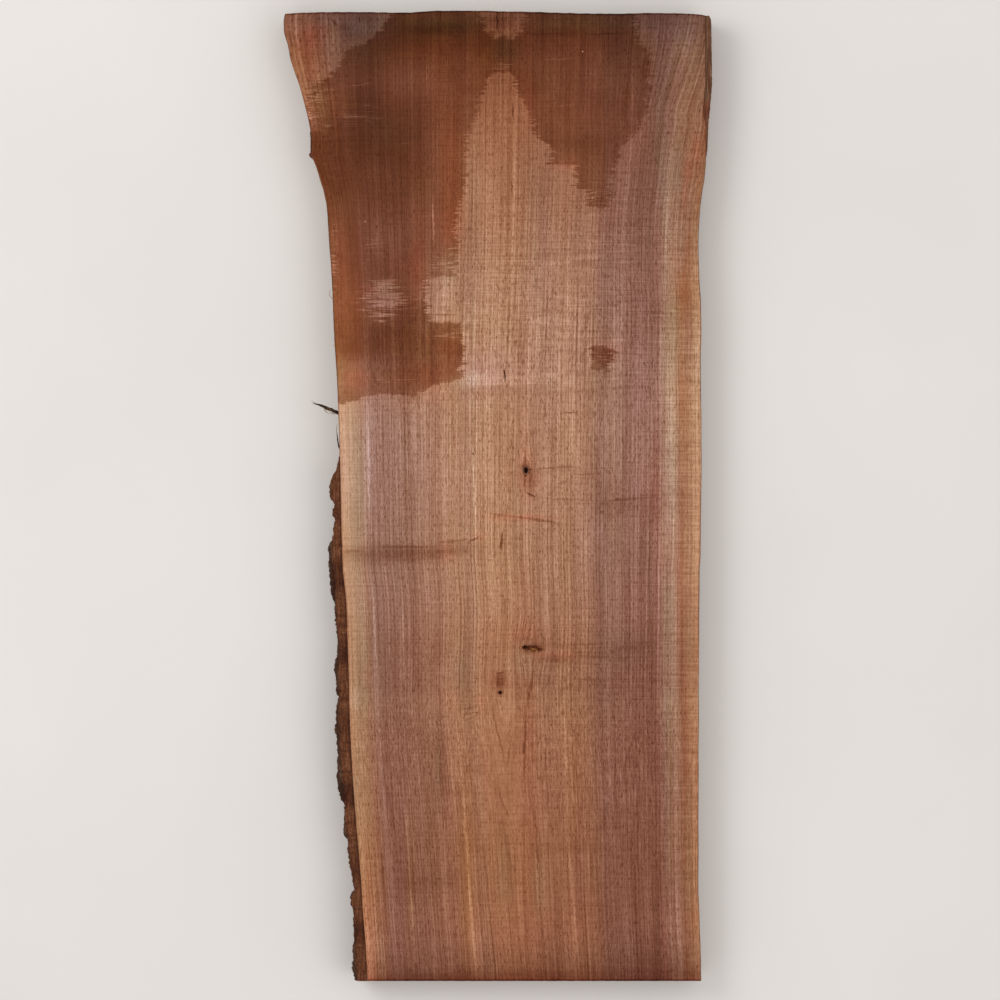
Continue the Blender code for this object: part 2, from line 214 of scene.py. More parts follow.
# Soft spots as (X, Y, reach across, reach along, amount), added up, from the butt end down.
# Where the wood has soaked up more water, or less below zero
SOAKED = [
    (107, 595, 60, 13, 0.04), (-66, 592, 60, 18, 0.15), (-100, 580, 60, 24, 0.12),
    (0, 580, 180, 30, 0.1), (-47, 570, 8, 14, 0.1), (-24, 564, 16, 16, 0.22),
    (6, 564, 20, 12, 0.25), (-105, 520, 30, 26, -0.12), (45, 510, 14, 40, -0.12),
    (-218, 500, 24, 30, -0.2), (-140, 500, 80, 50, 0.04), (-130, 500, 26, 40, 0.14),
    (130, 490, 80, 80, -0.12), (118, 480, 8, 50, 0.25), (-60, 470, 34, 60, -0.14),
    (-120, 462, 52, 44, 0.1), (-205, 450, 30, 20, 0.1), (-175, 450, 18, 24, 0.06),
    (100, 446, 40, 16, 0.25), (-150, 440, 30, 30, 0.08), (-84, 440, 10, 120, -0.08),
    (-66, 440, 10, 30, 0.1), (50, 440, 16, 14, 0.2), (-225, 430, 26, 50, 0.45),
    (-105, 420, 12, 40, 0.12), (-155, 418, 62, 76, 0.34), (-205, 380, 16, 40, 0.3),
    (-148, 330, 14, 40, -0.3), (-74, 330, 6, 50, -0.25), (-178, 312, 42, 80, 0.16),
    (-170, 280, 50, 40, 0.12), (-212, 250, 14, 120, 0.2), (-55, 250, 34, 80, -0.06),
    (-100, 235, 24, 18, 0.3), (-130, 204, 60, 30, 0.42), (-195, 200, 14, 60, 0.12),
    (-62, 188, 26, 26, 0.4), (-182, 184, 30, 10, 0.25), (134, 182, 20, 12, 0.26),
    (-205, 160, 16, 50, -0.06), (-98, 155, 24, 14, 0.3),
]
# Streaks inside the stain that have dried again
DRY_STREAKS = [
    (-180, 545, 12, 8, 0.4), (5, 542, 17, 10, 0.85), (-206, 532, 14, 8, 0.7),
    (-216, 512, 20, 3, 0.6), (-90, 508, 8, 26, 0.3), (-228, 500, 16, 30, 0.3),
    (-212, 500, 22, 3, 0.55), (-205, 480, 36, 3, 0.8), (-160, 478, 26, 12, 0.3),
    (-236, 470, 10, 6, 0.5), (-222, 468, 22, 4, 0.65), (84, 408, 26, 26, 0.3),
    (122, 378, 24, 24, 0.4), (-154, 322, 14, 18, 0.55), (-66, 293, 26, 12, 0.9),
    (-206, 290, 5, 50, 0.7), (-142, 269, 20, 7, 1.2), (-140, 248, 34, 13, 1.25),
    (-146, 226, 20, 6, 1.1), (-66, 204, 24, 4, 0.4), (-62, 203, 20, 5, 0.6),
    (128, 178, 18, 14, 0.55), (-120, 150, 60, 10, 0.3),
]
# Lighter places, and darker ones below zero; 0.1 is a tenth of the brightness
SHADES = [
    (-80, 604, 50, 6, 0.06), (-206, 602, 18, 8, 0.16), (145, 602, 12, 8, 0.12),
    (247, 602, 10, 10, 0.14), (-185, 601, 8, 8, 0.08), (-4, 600, 24, 10, -0.28),
    (-254, 598, 14, 14, 0.12), (90, 596, 110, 12, 0.06), (-170, 593, 9, 12, 0.14),
    (-240, 592, 24, 20, 0.06), (-190, 592, 14, 20, -0.08), (-175, 590, 8, 14, 0.06),
    (-160, 590, 26, 22, -0.04), (-80, 590, 60, 14, -0.05), (24, 590, 10, 16, 0.06),
    (215, 590, 44, 24, 0.06), (-206, 583, 8, 24, 0.22), (-185, 583, 8, 24, -0.05),
    (-16, 580, 10, 12, -0.12), (238, 580, 18, 36, 0.16), (240, 580, 12, 40, 0.08),
    (-195, 577, 9, 14, 0.07), (27, 576, 8, 8, -0.1), (-237, 572, 12, 26, -0.06),
    (-110, 572, 90, 34, -0.06), (0, 572, 40, 12, -0.06), (-161, 569, 9, 9, 0.07),
    (76, 569, 10, 10, -0.08), (6, 566, 14, 8, 0.08), (236, 560, 14, 40, 0.04),
    (-64, 556, 8, 9, -0.08), (135, 555, 14, 30, 0.05), (170, 555, 10, 30, 0.06),
    (158, 553, 12, 14, 0.08), (-205, 548, 10, 16, 0.06), (190, 540, 8, 16, -0.1),
    (0, 535, 18, 20, -0.09), (-232, 528, 15, 40, -0.02), (-159, 526, 9, 9, 0.07),
    (-140, 520, 40, 20, 0.08), (20, 520, 6, 16, -0.06), (180, 520, 30, 50, 0.08),
    (222, 520, 24, 60, 0.12), (-12, 515, 5, 16, -0.06), (212, 510, 8, 20, -0.08),
    (60, 500, 10, 40, 0.07), (-200, 490, 12, 20, -0.08), (-233, 486, 8, 18, 0.2),
    (-229, 463, 10, 9, 0.12), (-15, 460, 16, 90, -0.08), (-100, 440, 10, 50, -0.06),
    (255, 440, 5, 34, 0.09), (-165, 410, 20, 60, 0.1), (-107, 408, 7, 14, -0.08),
    (5, 400, 10, 70, -0.05), (110, 385, 12, 20, -0.06), (213, 380, 8, 90, 0.12),
    (249, 360, 5, 50, 0.09), (-38, 335, 14, 34, -0.07), (-3, 312, 7, 20, -0.08),
    (10, 300, 30, 60, 0.03), (-54, 293, 7, 12, 0.08), (-30, 285, 16, 70, -0.06),
    (-98, 273, 7, 10, -0.08), (61, 269, 7, 14, 0.08), (-126, 267, 8, 8, 0.08),
    (-70, 256, 12, 16, 0.09), (238, 250, 12, 26, -0.08), (193, 236, 16, 8, -0.09),
    (225, 235, 60, 55, -0.08), (-136, 225, 9, 7, 0.08), (-195, 220, 10, 40, -0.05),
    (60, 220, 40, 5, 0.03), (-52, 201, 6, 8, 0.07), (-198, 189, 6, 16, 0.09),
    (-30, 149, 16, 9, 0.14), (20, 149, 50, 6, 0.05), (29, 148, 70, 6, 0.06),
    (0, 132, 170, 9, -0.05), (-90, 90, 16, 30, -0.05), (-55, 90, 30, 30, -0.05),
    (190, 66, 8, 130, 0.08), (-145, 60, 10, 50, -0.05), (-8, 60, 20, 120, -0.04),
    (70, 32, 34, 4, -0.06), (-178, 30, 10, 60, 0.05), (38, 30, 6, 26, -0.14),
    (38, 22, 7, 16, -0.2), (52, 16, 10, 8, -0.06), (130, -4, 6, 26, -0.08),
    (175, -10, 50, 16, -0.1), (255, -60, 6, 100, -0.08), (-150, -62, 14, 8, -0.06),
    (-52, -66, 26, 7, -0.16), (-92, -71, 34, 9, -0.22), (-150, -73, 44, 10, -0.24),
    (220, -80, 16, 30, -0.05), (30, -90, 7, 90, 0.06), (210, -100, 10, 60, -0.06),
    (108, -110, 20, 130, 0.07), (36, -178, 16, 9, -0.1), (60, -186, 30, 6, -0.08),
    (-68, -190, 10, 12, -0.1), (178, -190, 30, 16, -0.06), (-115, -195, 10, 14, -0.1),
    (130, -196, 50, 13, -0.09), (120, -200, 6, 60, 0.06), (212, -200, 10, 50, 0.05),
    (66, -203, 24, 5, -0.06), (34, -205, 12, 26, 0.08), (75, -205, 35, 5, -0.08),
    (70, -230, 8, 12, 0.08), (3, -231, 8, 9, -0.16), (60, -235, 40, 4, -0.07),
    (120, -240, 44, 7, -0.06), (-110, -244, 40, 7, -0.07), (-180, -256, 6, 14, 0.1),
    (208, -262, 10, 24, 0.12), (12, -270, 12, 26, 0.07), (200, -270, 8, 60, -0.08),
    (246, -285, 5, 110, 0.07), (-140, -286, 40, 16, -0.04), (-42, -290, 8, 60, 0.11),
    (-168, -330, 7, 330, 0.06), (-74, -330, 12, 50, -0.1), (20, -330, 12, 40, -0.04),
    (262, -330, 7, 300, 0.05), (-72, -350, 7, 170, -0.05), (-68, -350, 8, 30, -0.05),
    (246, -366, 5, 40, 0.06), (-55, -372, 20, 8, -0.12), (-42, -400, 16, 16, -0.05),
    (145, -405, 30, 10, -0.05), (14, -420, 8, 60, -0.1), (-170, -440, 30, 60, -0.03),
    (-148, -440, 7, 20, 0.08), (70, -440, 40, 8, -0.06), (107, -443, 24, 6, -0.06),
    (-172, -450, 8, 60, 0.06), (12, -480, 5, 90, 0.06), (190, -480, 8, 60, -0.07),
    (240, -480, 5, 90, 0.06), (247, -480, 5, 100, 0.06), (-108, -488, 24, 20, -0.12),
    (-66, -488, 14, 14, -0.08), (-54, -500, 9, 60, -0.05), (60, -500, 10, 70, 0.08),
    (118, -520, 16, 60, -0.07), (215, -520, 22, 70, 0.06), (150, -530, 16, 30, -0.06),
    (30, -570, 8, 20, -0.08), (-146, -580, 12, 24, 0.1), (-160, -590, 7, 60, 0.16),
    (121, -594, 8, 8, -0.08), (-85, -600, 24, 30, 0.12), (-145, -602, 26, 8, 0.09),
    (-6, -602, 8, 8, 0.08), (60, -602, 240, 7, -0.12), (-60, -606, 120, 8, -0.08),
    (0, -611, 300, 5, -0.2),
]
# Redder places, and less red ones below zero
REDDENED = [
    (-228, 602, 9, 8, -0.4), (-95, 602, 30, 7, 0.4), (179, 602, 9, 8, 0.5),
    (110, 600, 90, 14, -0.9), (-110, 596, 60, 16, -0.5), (-70, 596, 50, 12, -0.8),
    (4, 594, 28, 10, 0.6), (-185, 592, 24, 18, -0.7), (-60, 592, 60, 18, -0.5),
    (57, 592, 8, 8, -0.35), (210, 592, 40, 26, -0.2), (-160, 590, 28, 24, -0.8),
    (-222, 588, 14, 10, 0.4), (238, 585, 16, 20, -0.4), (-215, 583, 25, 26, -0.2),
    (-238, 574, 13, 28, 1.1), (10, 564, 20, 18, -1.3), (-165, 562, 9, 10, -0.35),
    (-190, 560, 20, 20, -0.4), (200, 560, 80, 60, -0.6), (-150, 556, 34, 20, -0.2),
    (50, 550, 12, 50, -0.4), (-236, 542, 6, 16, 0.5), (190, 540, 8, 20, 0.4),
    (-229, 531, 8, 10, 0.45), (-58, 520, 10, 30, -0.3), (-66, 519, 26, 50, 0.4),
    (-62, 510, 10, 40, -0.3), (-130, 505, 22, 36, 0.5), (-200, 500, 14, 26, 0.5),
    (40, 500, 7, 30, 0.4), (-150, 490, 56, 56, -0.6), (205, 470, 22, 80, -0.6),
    (-148, 460, 24, 24, -0.2), (-110, 450, 14, 60, -0.3), (110, 450, 20, 14, -0.3),
    (251, 440, 5, 20, 1.1), (88, 418, 16, 8, 0.5), (-107, 410, 12, 24, 0.3),
    (228, 410, 6, 40, -0.3), (241, 410, 6, 20, 1.1), (259, 410, 5, 60, -0.6),
    (208, 400, 6, 60, -0.5), (-60, 393, 18, 90, 0.6), (236, 374, 5, 24, 0.7),
    (180, 350, 20, 60, -0.4), (248, 350, 5, 40, -0.7), (45, 340, 14, 120, -0.4),
    (104, 335, 9, 26, -0.3), (-62, 334, 12, 24, 0.5), (-112, 325, 12, 24, -0.5),
    (-166, 320, 16, 60, 0.1), (-195, 310, 10, 60, 0.5), (-102, 300, 12, 60, 0.8),
    (225, 296, 9, 26, 0.4), (-125, 290, 30, 60, 0.5), (-58, 288, 9, 30, -0.5),
    (-140, 264, 28, 12, -0.4), (-160, 262, 12, 8, 0.5), (228, 262, 12, 20, 0.3),
    (238, 250, 12, 26, 0.2), (-186, 230, 22, 90, 1), (-67, 225, 8, 9, 0.3),
    (-60, 188, 16, 20, 0.5), (140, 186, 16, 16, 0.5), (-80, 178, 24, 10, -0.5),
    (-170, 165, 40, 10, -0.4), (-100, 158, 60, 40, 0.8), (-198, 150, 6, 40, -0.4),
    (-180, 150, 20, 24, 0.7), (-28, 150, 22, 14, -0.3), (-50, 140, 16, 10, -0.4),
    (225, 130, 14, 40, 0.3), (37, 50, 10, 14, 0.3), (-172, 20, 6, 80, -0.5), (40, 20, 22, 20, 0.3),
    (200, 10, 8, 60, 0.3), (194, 0, 6, 70, 0.2), (24, -20, 6, 60, -0.4), (30, -26, 42, 4, 0.8),
    (-25, -50, 14, 6, 0.4), (253, -60, 8, 120, 0.3), (-200, -70, 8, 20, 0.3),
    (-110, -70, 60, 10, 0.1), (-66, -70, 10, 16, 0.5), (216, -80, 15, 60, 0.5),
    (215, -130, 8, 70, -0.5), (34, -170, 16, 8, 0.3), (241, -180, 6, 30, -0.5),
    (-165, -190, 30, 50, -0.4), (160, -190, 40, 30, -0.4), (75, -199, 24, 4, 0.6),
    (32, -205, 12, 20, -0.5), (50, -214, 44, 26, -0.2), (-45, -215, 14, 40, -0.6),
    (-165, -225, 9, 12, 0.3), (3, -232, 11, 10, 0.35), (-172, -240, 14, 30, -0.3),
    (-60, -255, 16, 16, 0.3), (-22, -258, 8, 12, 0.4), (42, -270, 6, 60, 0.25),
    (213, -290, 6, 70, -0.4), (-75, -340, 6, 50, -0.5), (-178, -360, 5, 80, -0.5),
    (213, -420, 6, 90, -0.5), (240, -460, 6, 110, -0.7), (8, -470, 10, 60, -0.4),
    (52, -490, 8, 50, -0.5), (-176, -500, 6, 110, -0.4), (-158, -500, 10, 80, 0.4),
    (170, -560, 30, 40, -0.3), (248, -575, 6, 26, -0.35), (-160, -600, 12, 40, 0.5),
    (0, -610, 300, 5, 0.6),
]
# Yellower places, and bluer ones below zero
YELLOWED = [
    (-117, 602, 14, 8, 0.6), (-85, 602, 9, 8, -0.5), (240, 602, 12, 8, 0.5),
    (107, 595, 60, 14, 0.6), (-180, 592, 26, 18, -0.4), (-80, 592, 62, 22, 0.9),
    (-160, 590, 28, 24, -0.4), (158, 589, 8, 9, 0.35), (-209, 588, 10, 16, 0.5),
    (-215, 583, 25, 26, 0.1), (174, 575, 10, 14, 0.45), (-90, 570, 60, 16, 0.3),
    (-15, 568, 14, 20, 0.8), (3, 562, 9, 10, -0.4), (-232, 560, 40, 50, 0.1),
    (-90, 560, 50, 16, 0.3), (195, 560, 16, 40, 0.5), (227, 560, 12, 26, 0.4),
    (205, 550, 24, 70, -0.6), (-20, 536, 14, 20, 0.3), (221, 515, 9, 18, 0.4),
    (110, 510, 18, 60, -0.5), (163, 509, 9, 12, 0.35), (-157, 507, 32, 40, -0.3),
    (-210, 500, 20, 24, 0.4), (-188, 499, 12, 16, 0.55), (-235, 480, 8, 50, -0.3),
    (-231, 470, 9, 10, -0.35), (215, 470, 50, 110, 0.1), (145, 468, 10, 12, 0.4),
    (245, 450, 15, 130, 0.3), (-185, 420, 12, 40, 0.4), (-150, 410, 26, 60, 0.2),
    (-115, 410, 14, 16, 0.4), (-60, 400, 30, 70, 0.3), (-93, 394, 9, 16, 0.35),
    (-176, 385, 9, 24, 0.35), (58, 330, 6, 60, -0.3), (100, 330, 14, 50, -0.3),
    (-204, 290, 12, 90, -0.3), (-96, 287, 8, 10, 0.35), (-130, 262, 26, 16, 0.3),
    (238, 250, 12, 26, 0.4), (-140, 247, 30, 16, -0.3), (-190, 240, 26, 70, 0.4),
    (-170, 230, 16, 14, 0.2), (240, 220, 6, 70, -0.4), (-198, 196, 6, 16, -0.35),
    (105, 190, 10, 60, -0.2), (225, 190, 20, 140, 0.5), (-205, 185, 12, 50, 0.5),
    (-110, 180, 90, 60, 0.6), (-140, 170, 60, 10, -0.4), (135, 170, 24, 60, 0.3),
    (-15, 160, 40, 30, -0.6), (-140, 60, 34, 90, -0.1), (-198, 40, 8, 80, -0.2),
    (145, 0, 16, 160, 0.3), (120, -60, 20, 60, -0.3), (165, -60, 30, 160, -0.1),
    (100, -100, 8, 100, -0.2), (45.5, -191.8, 5, 2.6, 2.4), (-180, -256, 7, 12, -0.35),
    (-162, -430, 16, 170, 0.2), (93, -430, 6, 180, 0.1), (110, -440, 8, 60, -0.2),
    (-120, -480, 10, 80, -0.3), (-37, -480, 7, 120, 0.55), (100, -480, 11, 55, -0.4),
    (-110, -490, 6, 100, 0.7), (225, -530, 10, 70, -0.3),
]
# Where the figure is calmer
CALM = [
    (-110, 510, 100, 90, -0.25), (110, 470, 80, 110, -0.25), (-120, 330, 90, 160, -0.15),
    (238, 250, 20, 60, -0.2), (-185, 0, 22, 500, -0.4), (242, -150, 24, 450, -0.35),
    (10, -320, 30, 90, -0.4), (30, -480, 110, 140, -0.2),
]
# Where the rim of the stain is combed out further, or less below zero
FRAYED = [
    (-160, 590, 30, 25, -0.5), (0, 590, 40, 20, -0.6), (192, 530, 30, 80, -0.65),
    (-212, 480, 30, 46, 0.3), (-30, 470, 14, 60, 0.3), (60, 440, 30, 40, 0.5),
    (130, 380, 30, 26, 1), (-45, 330, 10, 60, 0.4), (-75, 285, 26, 40, 1.3), (-60, 150, 30, 20, 1),
]
# Where the stain fades out over a broader rim
SOFTENED = [
    (2, 592, 40, 18, 3.5), (-160, 590, 30, 25, 1), (196, 575, 26, 50, 3), (190, 510, 22, 50, 2.2),
    (-228, 498, 24, 40, 1.6), (130, 176, 24, 24, 0.6),
]
# Where the saw's lines stand out
WASHBOARDED = [
    (-62, 540, 30, 34, 0.35), (-178, 475, 22, 14, 0.6), (-205, 470, 40, 40, 0.3),
    (-60, 470, 26, 40, 0.2), (-140, 350, 16, 20, 0.4), (30, 260, 90, 90, 0.45),
    (170, 260, 90, 130, 0.5), (230, -60, 40, 420, 0.35), (150, -220, 90, 60, 0.2),
]
# Each tone that the soft spots change: its even amount, and its spots
SPOTTED = {
    "soak": (0.56, SOAKED), "dry": (0, DRY_STREAKS), "shade": (0, SHADES),
    "redness": (0, REDDENED), "yellowness": (0, YELLOWED), "liveliness": (0.82, CALM),
    "washboard": (0.5, WASHBOARDED),
}
EVEN_FRAY = 0.7

# Sharp marks on the face: (X, Y, half width, half length, turn in degrees, tone)
MARK_DEPTH = 8
FACE_MARKS = [
    # The round knot: its hollow and rim painted dark, partly its own dark wood and partly painted
    # shade
    (36, 33.6, 3.9, 5.6, 8, -2.4), (41, 34.6, 1.2, 5, -84, -0.9), (34.8, 28, 1.4, 4, 6, -0.8),
    (31.6, 38.6, 1, 3.6, 38, -0.6), (36, 36, 9, 12, 0, -0.3), (41, 24, 1.6, 12, -4, -0.3),
    (36.5, 72, 1.5, 16, 3, -0.22),
    # The wide knot and its pale core
    (43, -190.6, 13.5, 5.4, -5, -0.62), (34.4, -189.4, 4.4, 2.4, 12, -1.2),
    (53.8, -192, 5, 2.6, -14, -0.6), (44.2, -188, 8, 1.3, -4, -0.4),
    (45.4, -191.4, 5.2, 2, -6, 0.9), (44, -191, 20, 9.5, 0, -0.22),
    # The smallest knot, its hollow painted near black as dark wood and painted shade, and the dark
    # flame above it
    (3.2, -246.2, 2.6, 2.9, 0, -2), (3.2, -246.6, 6.2, 7.4, 0, -0.22),
    (3, -221.5, 1.2, 7.5, 86, -0.4), (3, -229, 1.1, 7, 92, -0.28), (3, -236.5, 6, 8, 0, -0.28),
    (3, -229, 8.5, 12, 0, -0.18), (3, -256.5, 1.4, 7, 0, -0.16),
    # Nicks, a hairline and darker bands along the saw cut of the butt
    (-207, 599, 1.2, 6, 24, -0.55), (-203.5, 597, 1.2, 6, 20, -0.4),
    (-213, 602, 1.1, 4, 12, -0.35), (-174, 601, 1.2, 5, 0, -0.4), (-150, 602, 1.1, 4, 5, -0.35),
    (0.2, 601, 1, 19, 0, -1.1), (133, 583.4, 1.5, 32, -89, -0.26),
    (64, 584, 1.4, 44, -90.5, -0.12), (-66, 589, 11, 74, 91, -0.08), (-88, 588, 5, 26, 92, -0.08),
    (70, 585, 10, 58, 89, -0.09),
    # Flecks and spots
    (19.7, 485.8, 1.4, 13.4, 0.7, -0.55), (18, 390.7, 1.3, 11, 2, -0.4),
    (9, 153.2, 1.6, 11, 5, -1.5), (-0.6, 201.7, 1.3, 1.9, 0, -0.4),
    (18.3, 105.3, 1.5, 1.8, 0, -0.5), (90.1, 106.3, 1.3, 14.2, -86.8, -0.35),
    (91.3, 106.4, 1.8, 1.5, 0, -0.45), (-30.6, 54.2, 1.6, 2, 0, -0.5),
    (107.4, 561.5, 1.2, 1.2, 0, 1.2), (-166.9, 346.9, 1.8, 1.5, 0, 0.6),
    (-152.3, 341.5, 1.4, 1.4, 0, -0.6), (-63, 400.7, 1.5, 2.5, 0, -0.3),
    (4.8, 415.2, 1.6, 2.5, 0, -0.25),
    # Scratches across the middle
    (5, -56, 2.2, 16, -3, -0.6), (-29, -53, 1.7, 9.5, -63, -0.45),
    (-118, -62.5, 2.6, 46, 90, -0.22), (-57, -55.5, 2, 30, -84, -0.2),
    (-182, -68, 3, 16, 94, -0.16), (9.4, -136.6, 1.5, 13.4, -3.4, -0.25),
    (4, -22.6, 1.9, 20.7, 81.3, -0.16), (36, -26.4, 2, 26.1, 84, -0.2),
    (62.5, -30.5, 2.6, 24, 83, -0.26), (59.8, 36, 1.8, 15, -84, -0.2),
    (88, 37.7, 1.8, 22, -91, -0.16), (112.8, 28.7, 1.7, 27, -87.5, -0.2),
    (82, 18, 2.2, 20, -80, -0.12), (42, 2.2, 1.7, 8.5, 63, -0.6), (50, 12, 5, 9, 0, 0.12),
    (88.2, -2.8, 1.9, 51.3, 87.5, -0.14), (165, -2.5, 2.4, 40, -86.5, -0.2),
    # Rubbed lines beside the two lower knots
    (-33.4, -265.5, 1.5, 15.9, -82.9, -0.16), (-30.9, -272.1, 1.5, 16.1, -78.7, -0.16),
    (110, -186, 1.6, 32, -88, -0.16), (126, -201, 1.5, 28, -92, -0.14),
    (132, -230, 2.2, 46, -90, -0.12), (-33, -278, 1.6, 15, -70, -0.14),
    # Dark lines that fan out below the knots
    (1.3, -300.4, 1.6, 49.5, 13.8, -0.2), (15.1, -320, 1.6, 25.5, -8.9, -0.2),
    (7.6, -386.8, 1.8, 30.1, 19.9, -0.15), (41.9, -239.3, 2.3, 36.6, -8, -0.28),
    (34.6, -310, 2.4, 63, -1.8, -0.3), (59.2, -342.7, 2, 26.9, -5, -0.2),
    # Long streaks down the grain
    (-29.3, 5.1, 1.6, 74, 1.5, 0.28), (85.7, -325.1, 2.6, 130, 1.1, 0.13),
    (91.3, -466.8, 3, 60, 5.3, 0.13), (99.5, -553.7, 3.4, 73.6, 5.5, 0.15),
    (-41.6, -410.8, 2.9, 70, 3.4, 0.14), (-32.1, -535.7, 3.4, 101.2, 5.4, 0.18),
    (-112.8, -432.1, 2.4, 63.1, 2.9, 0.15), (-107.1, -541.1, 2.8, 89.1, 3, 0.2),
    (-13.9, -478.1, 1.8, 45.1, 5, -0.18), (-6.6, -556.9, 2, 69.6, 5.5, -0.2),
    (49.1, -432.1, 2, 71, 3.2, -0.2), (55.8, -544.3, 2.2, 85.2, 3.4, -0.22),
    (213.6, -509.6, 1.4, 37, 0, -0.14), (-162, 34, 1.4, 95, 0, 0.15),
    (-154, -180, 1.5, 105, 2.5, 0.15), (-118.5, -180, 1.5, 105, 1.5, 0.16),
    (25, 200, 1.2, 80, 1, -0.12),
    # Fine lines in and round the stain
    (110.6, 202.9, 1.1, 25.7, 11.5, 0.16), (115.5, 172.1, 1.1, 19.7, 0.7, 0.28),
    (31.5, 143, 1.2, 100, -90, 0.1), (35.3, 220.6, 1.3, 43.3, -90, 0.08),
    (76.2, 551.9, 1, 31.5, -88.6, 0.17), (-81.1, 349.1, 1.4, 41, 1.4, 0.42),
    (-89, 526, 1.1, 32, 0, 0.22), (-172.6, 519.8, 1, 21.5, -81.6, 0.28),
    (-69.3, 229.9, 1.1, 24.4, -90, -0.3), (170, 513, 1.4, 44, 0, 0.2), (129, 554, 1.3, 20, 0, 0.2),
    (122.8, 525, 1.2, 40, 0, 0.12), (88, 494, 1, 14, -83, 0.16), (118, 533, 1, 10, 75, 0.14),
    # Nicks at the foot
    (156, -610.5, 2.6, 3.4, 60, -0.7), (224, -610.5, 2.4, 3, -60, -0.7),
    (96, -611, 1.6, 3, 88, -0.5),
]

# Tone across the plank, from the left edge at -1 over the pith at 0 to the right edge at +1
TONE_ACROSS = [
    (-0.99, "b88868"), (-0.94, "b08568"), (-0.9, "a98166"), (-0.86, "a0725b"), (-0.82, "a07666"),
    (-0.78, "976c5c"), (-0.74, "936756"), (-0.66, "916654"), (-0.56, "976b56"), (-0.45, "a0725b"),
    (-0.41, "9a6a54"), (-0.36, "a27359"), (-0.29, "ab7a5e"), (-0.22, "a3755b"), (-0.18, "b08266"),
    (-0.14, "ac7a5d"), (0.02, "ac7a5c"), (0.1, "a36f54"), (0.18, "9e6e54"), (0.26, "a4755b"),
    (0.3, "a9795d"), (0.34, "a57559"), (0.42, "a07157"), (0.5, "906554"), (0.62, "8f6252"),
    (0.7, "8d5f4f"), (0.745, "835746"), (0.78, "916253"), (0.82, "9f7661"), (0.86, "a17a64"),
    (0.9, "9b664c"), (0.98, "b18363"),
]
# Painted light and shade along the plank, together with its weathering, as far as TINT_REACH;
# NEUTRAL leaves the tone as it is
NEUTRAL = "c8c8c8"
TINT_REACH = 612
LIGHT_AND_WEATHER_ALONG = [
    (-606, "98847c"), (-583, "a4948c"), (-558, "b4a49e"), (-533, "b8a8a0"), (-482, "b6a89e"),
    (-432, "b8aaa0"), (-382, "bcb0aa"), (-306, "beb4ae"), (-256, "c0bcb6"), (-230, "bcb4b0"),
    (-180, "c0b8b4"), (-130, "c8c8c8"), (-54, "ccd2d2"), (-4, "ced3d6"), (84, "d2dade"),
    (160, "d2dce4"), (248, "ced4da"), (299, "c8cacc"), (349, "c2bdbc"), (400, "beb8b6"),
    (450, "b8aca6"), (500, "b0a098"), (556, "a6958c"), (581, "9a8682"), (603, "8c7c7c"),
]
# What one unit of each adds to red, green and blue
TINGES = {"redness": (0.12, -0.15, -0.16), "yellowness": (0, 0.02, -0.3)}

# The studio: lamps as (name, place in m, size in m, watts), and where the camera stands
SKY_STRENGTH = 0.735
LAMPS = [("window", (-1.9, 1.0, 2.6), 1.6, 31), ("reflector", (1.7, -0.6, 2.6), 2.0, 15)]
CAMERA_X = 3.15
CAMERA_Y = -3.72
SENSOR_WIDTH = 36


def linear(hex_colour):
    """sRGB hex as linear red, green and blue."""
    channels = [int(hex_colour[i:i + 2], 16) / 255 for i in (0, 2, 4)]
    return [c / 12.92 if c <= 0.04045 else ((c + 0.055) / 1.055) ** 2.4 for c in channels]


def add_node(tree, kind, *inputs, **settings):
    """Add a node; its inputs, in order or by key, take values, sockets or nodes' first outputs."""
    node = tree.nodes.new(kind if kind.startswith("NodeGroup") else "ShaderNode" + kind)
    for name, value in settings.items():
        setattr(node, name, value)
    by_key = {}
    for number, value in enumerate(inputs):
        by_key.update(value if isinstance(value, dict) else {number: value})
    for key, value in by_key.items():
        if isinstance(value, bpy.types.Node):
            value = value.outputs[0]
        if isinstance(value, bpy.types.NodeSocket):
            tree.links.new(value, node.inputs[key])
        else:
            node.inputs[key].default_value = value
    return node


def run_of_colours(tree, position, stops, reach):
    """Colours from (position, hex) pairs, on a run that goes as far below zero as above it."""
    share = add_node(tree, "MapRange", position, -reach, reach)
    ramp = add_node(tree, "ValToRGB", share)
    elements = ramp.color_ramp.elements
    while len(elements) < len(stops):
        elements.new(0.5)
    for element, (place, hex_colour) in zip(elements, stops):
        element.position = (place + reach) / (2 * reach)
        element.color = (*linear(hex_colour), 1.0)
    return ramp


def smooth_curve(points, at):
    """Read a smooth curve through (position, value) pairs at many positions, without overshoot."""
    position, value = np.array(points, float).T
    at = np.clip(at, position[0], position[-1])
    slope = np.diff(value) / np.diff(position)
    product = slope[:-1] * slope[1:]
    total = np.where(product > 0, slope[:-1] + slope[1:], 1.0)
    middle = np.where(product > 0, 2 * product / total, 0.0)
    tangent = np.concatenate(([slope[0]], middle, [slope[-1]]))
    index = np.clip(np.searchsorted(position, at, side="right") - 1, 0, len(slope) - 1)
    span = position[index + 1] - position[index]
    t = (at - position[index]) / span
    return (value[index] * (2 * t**3 - 3 * t**2 + 1) + tangent[index] * span * (t**3 - 2 * t**2 + t)
            + value[index + 1] * (3 * t**2 - 2 * t**3) + tangent[index + 1] * span * (t**3 - t**2))


def ease(t):
    """Go from 0 to 1 with a soft start and end."""
    t = np.clip(t, 0.0, 1.0)
    return t * t * (3 - 2 * t)


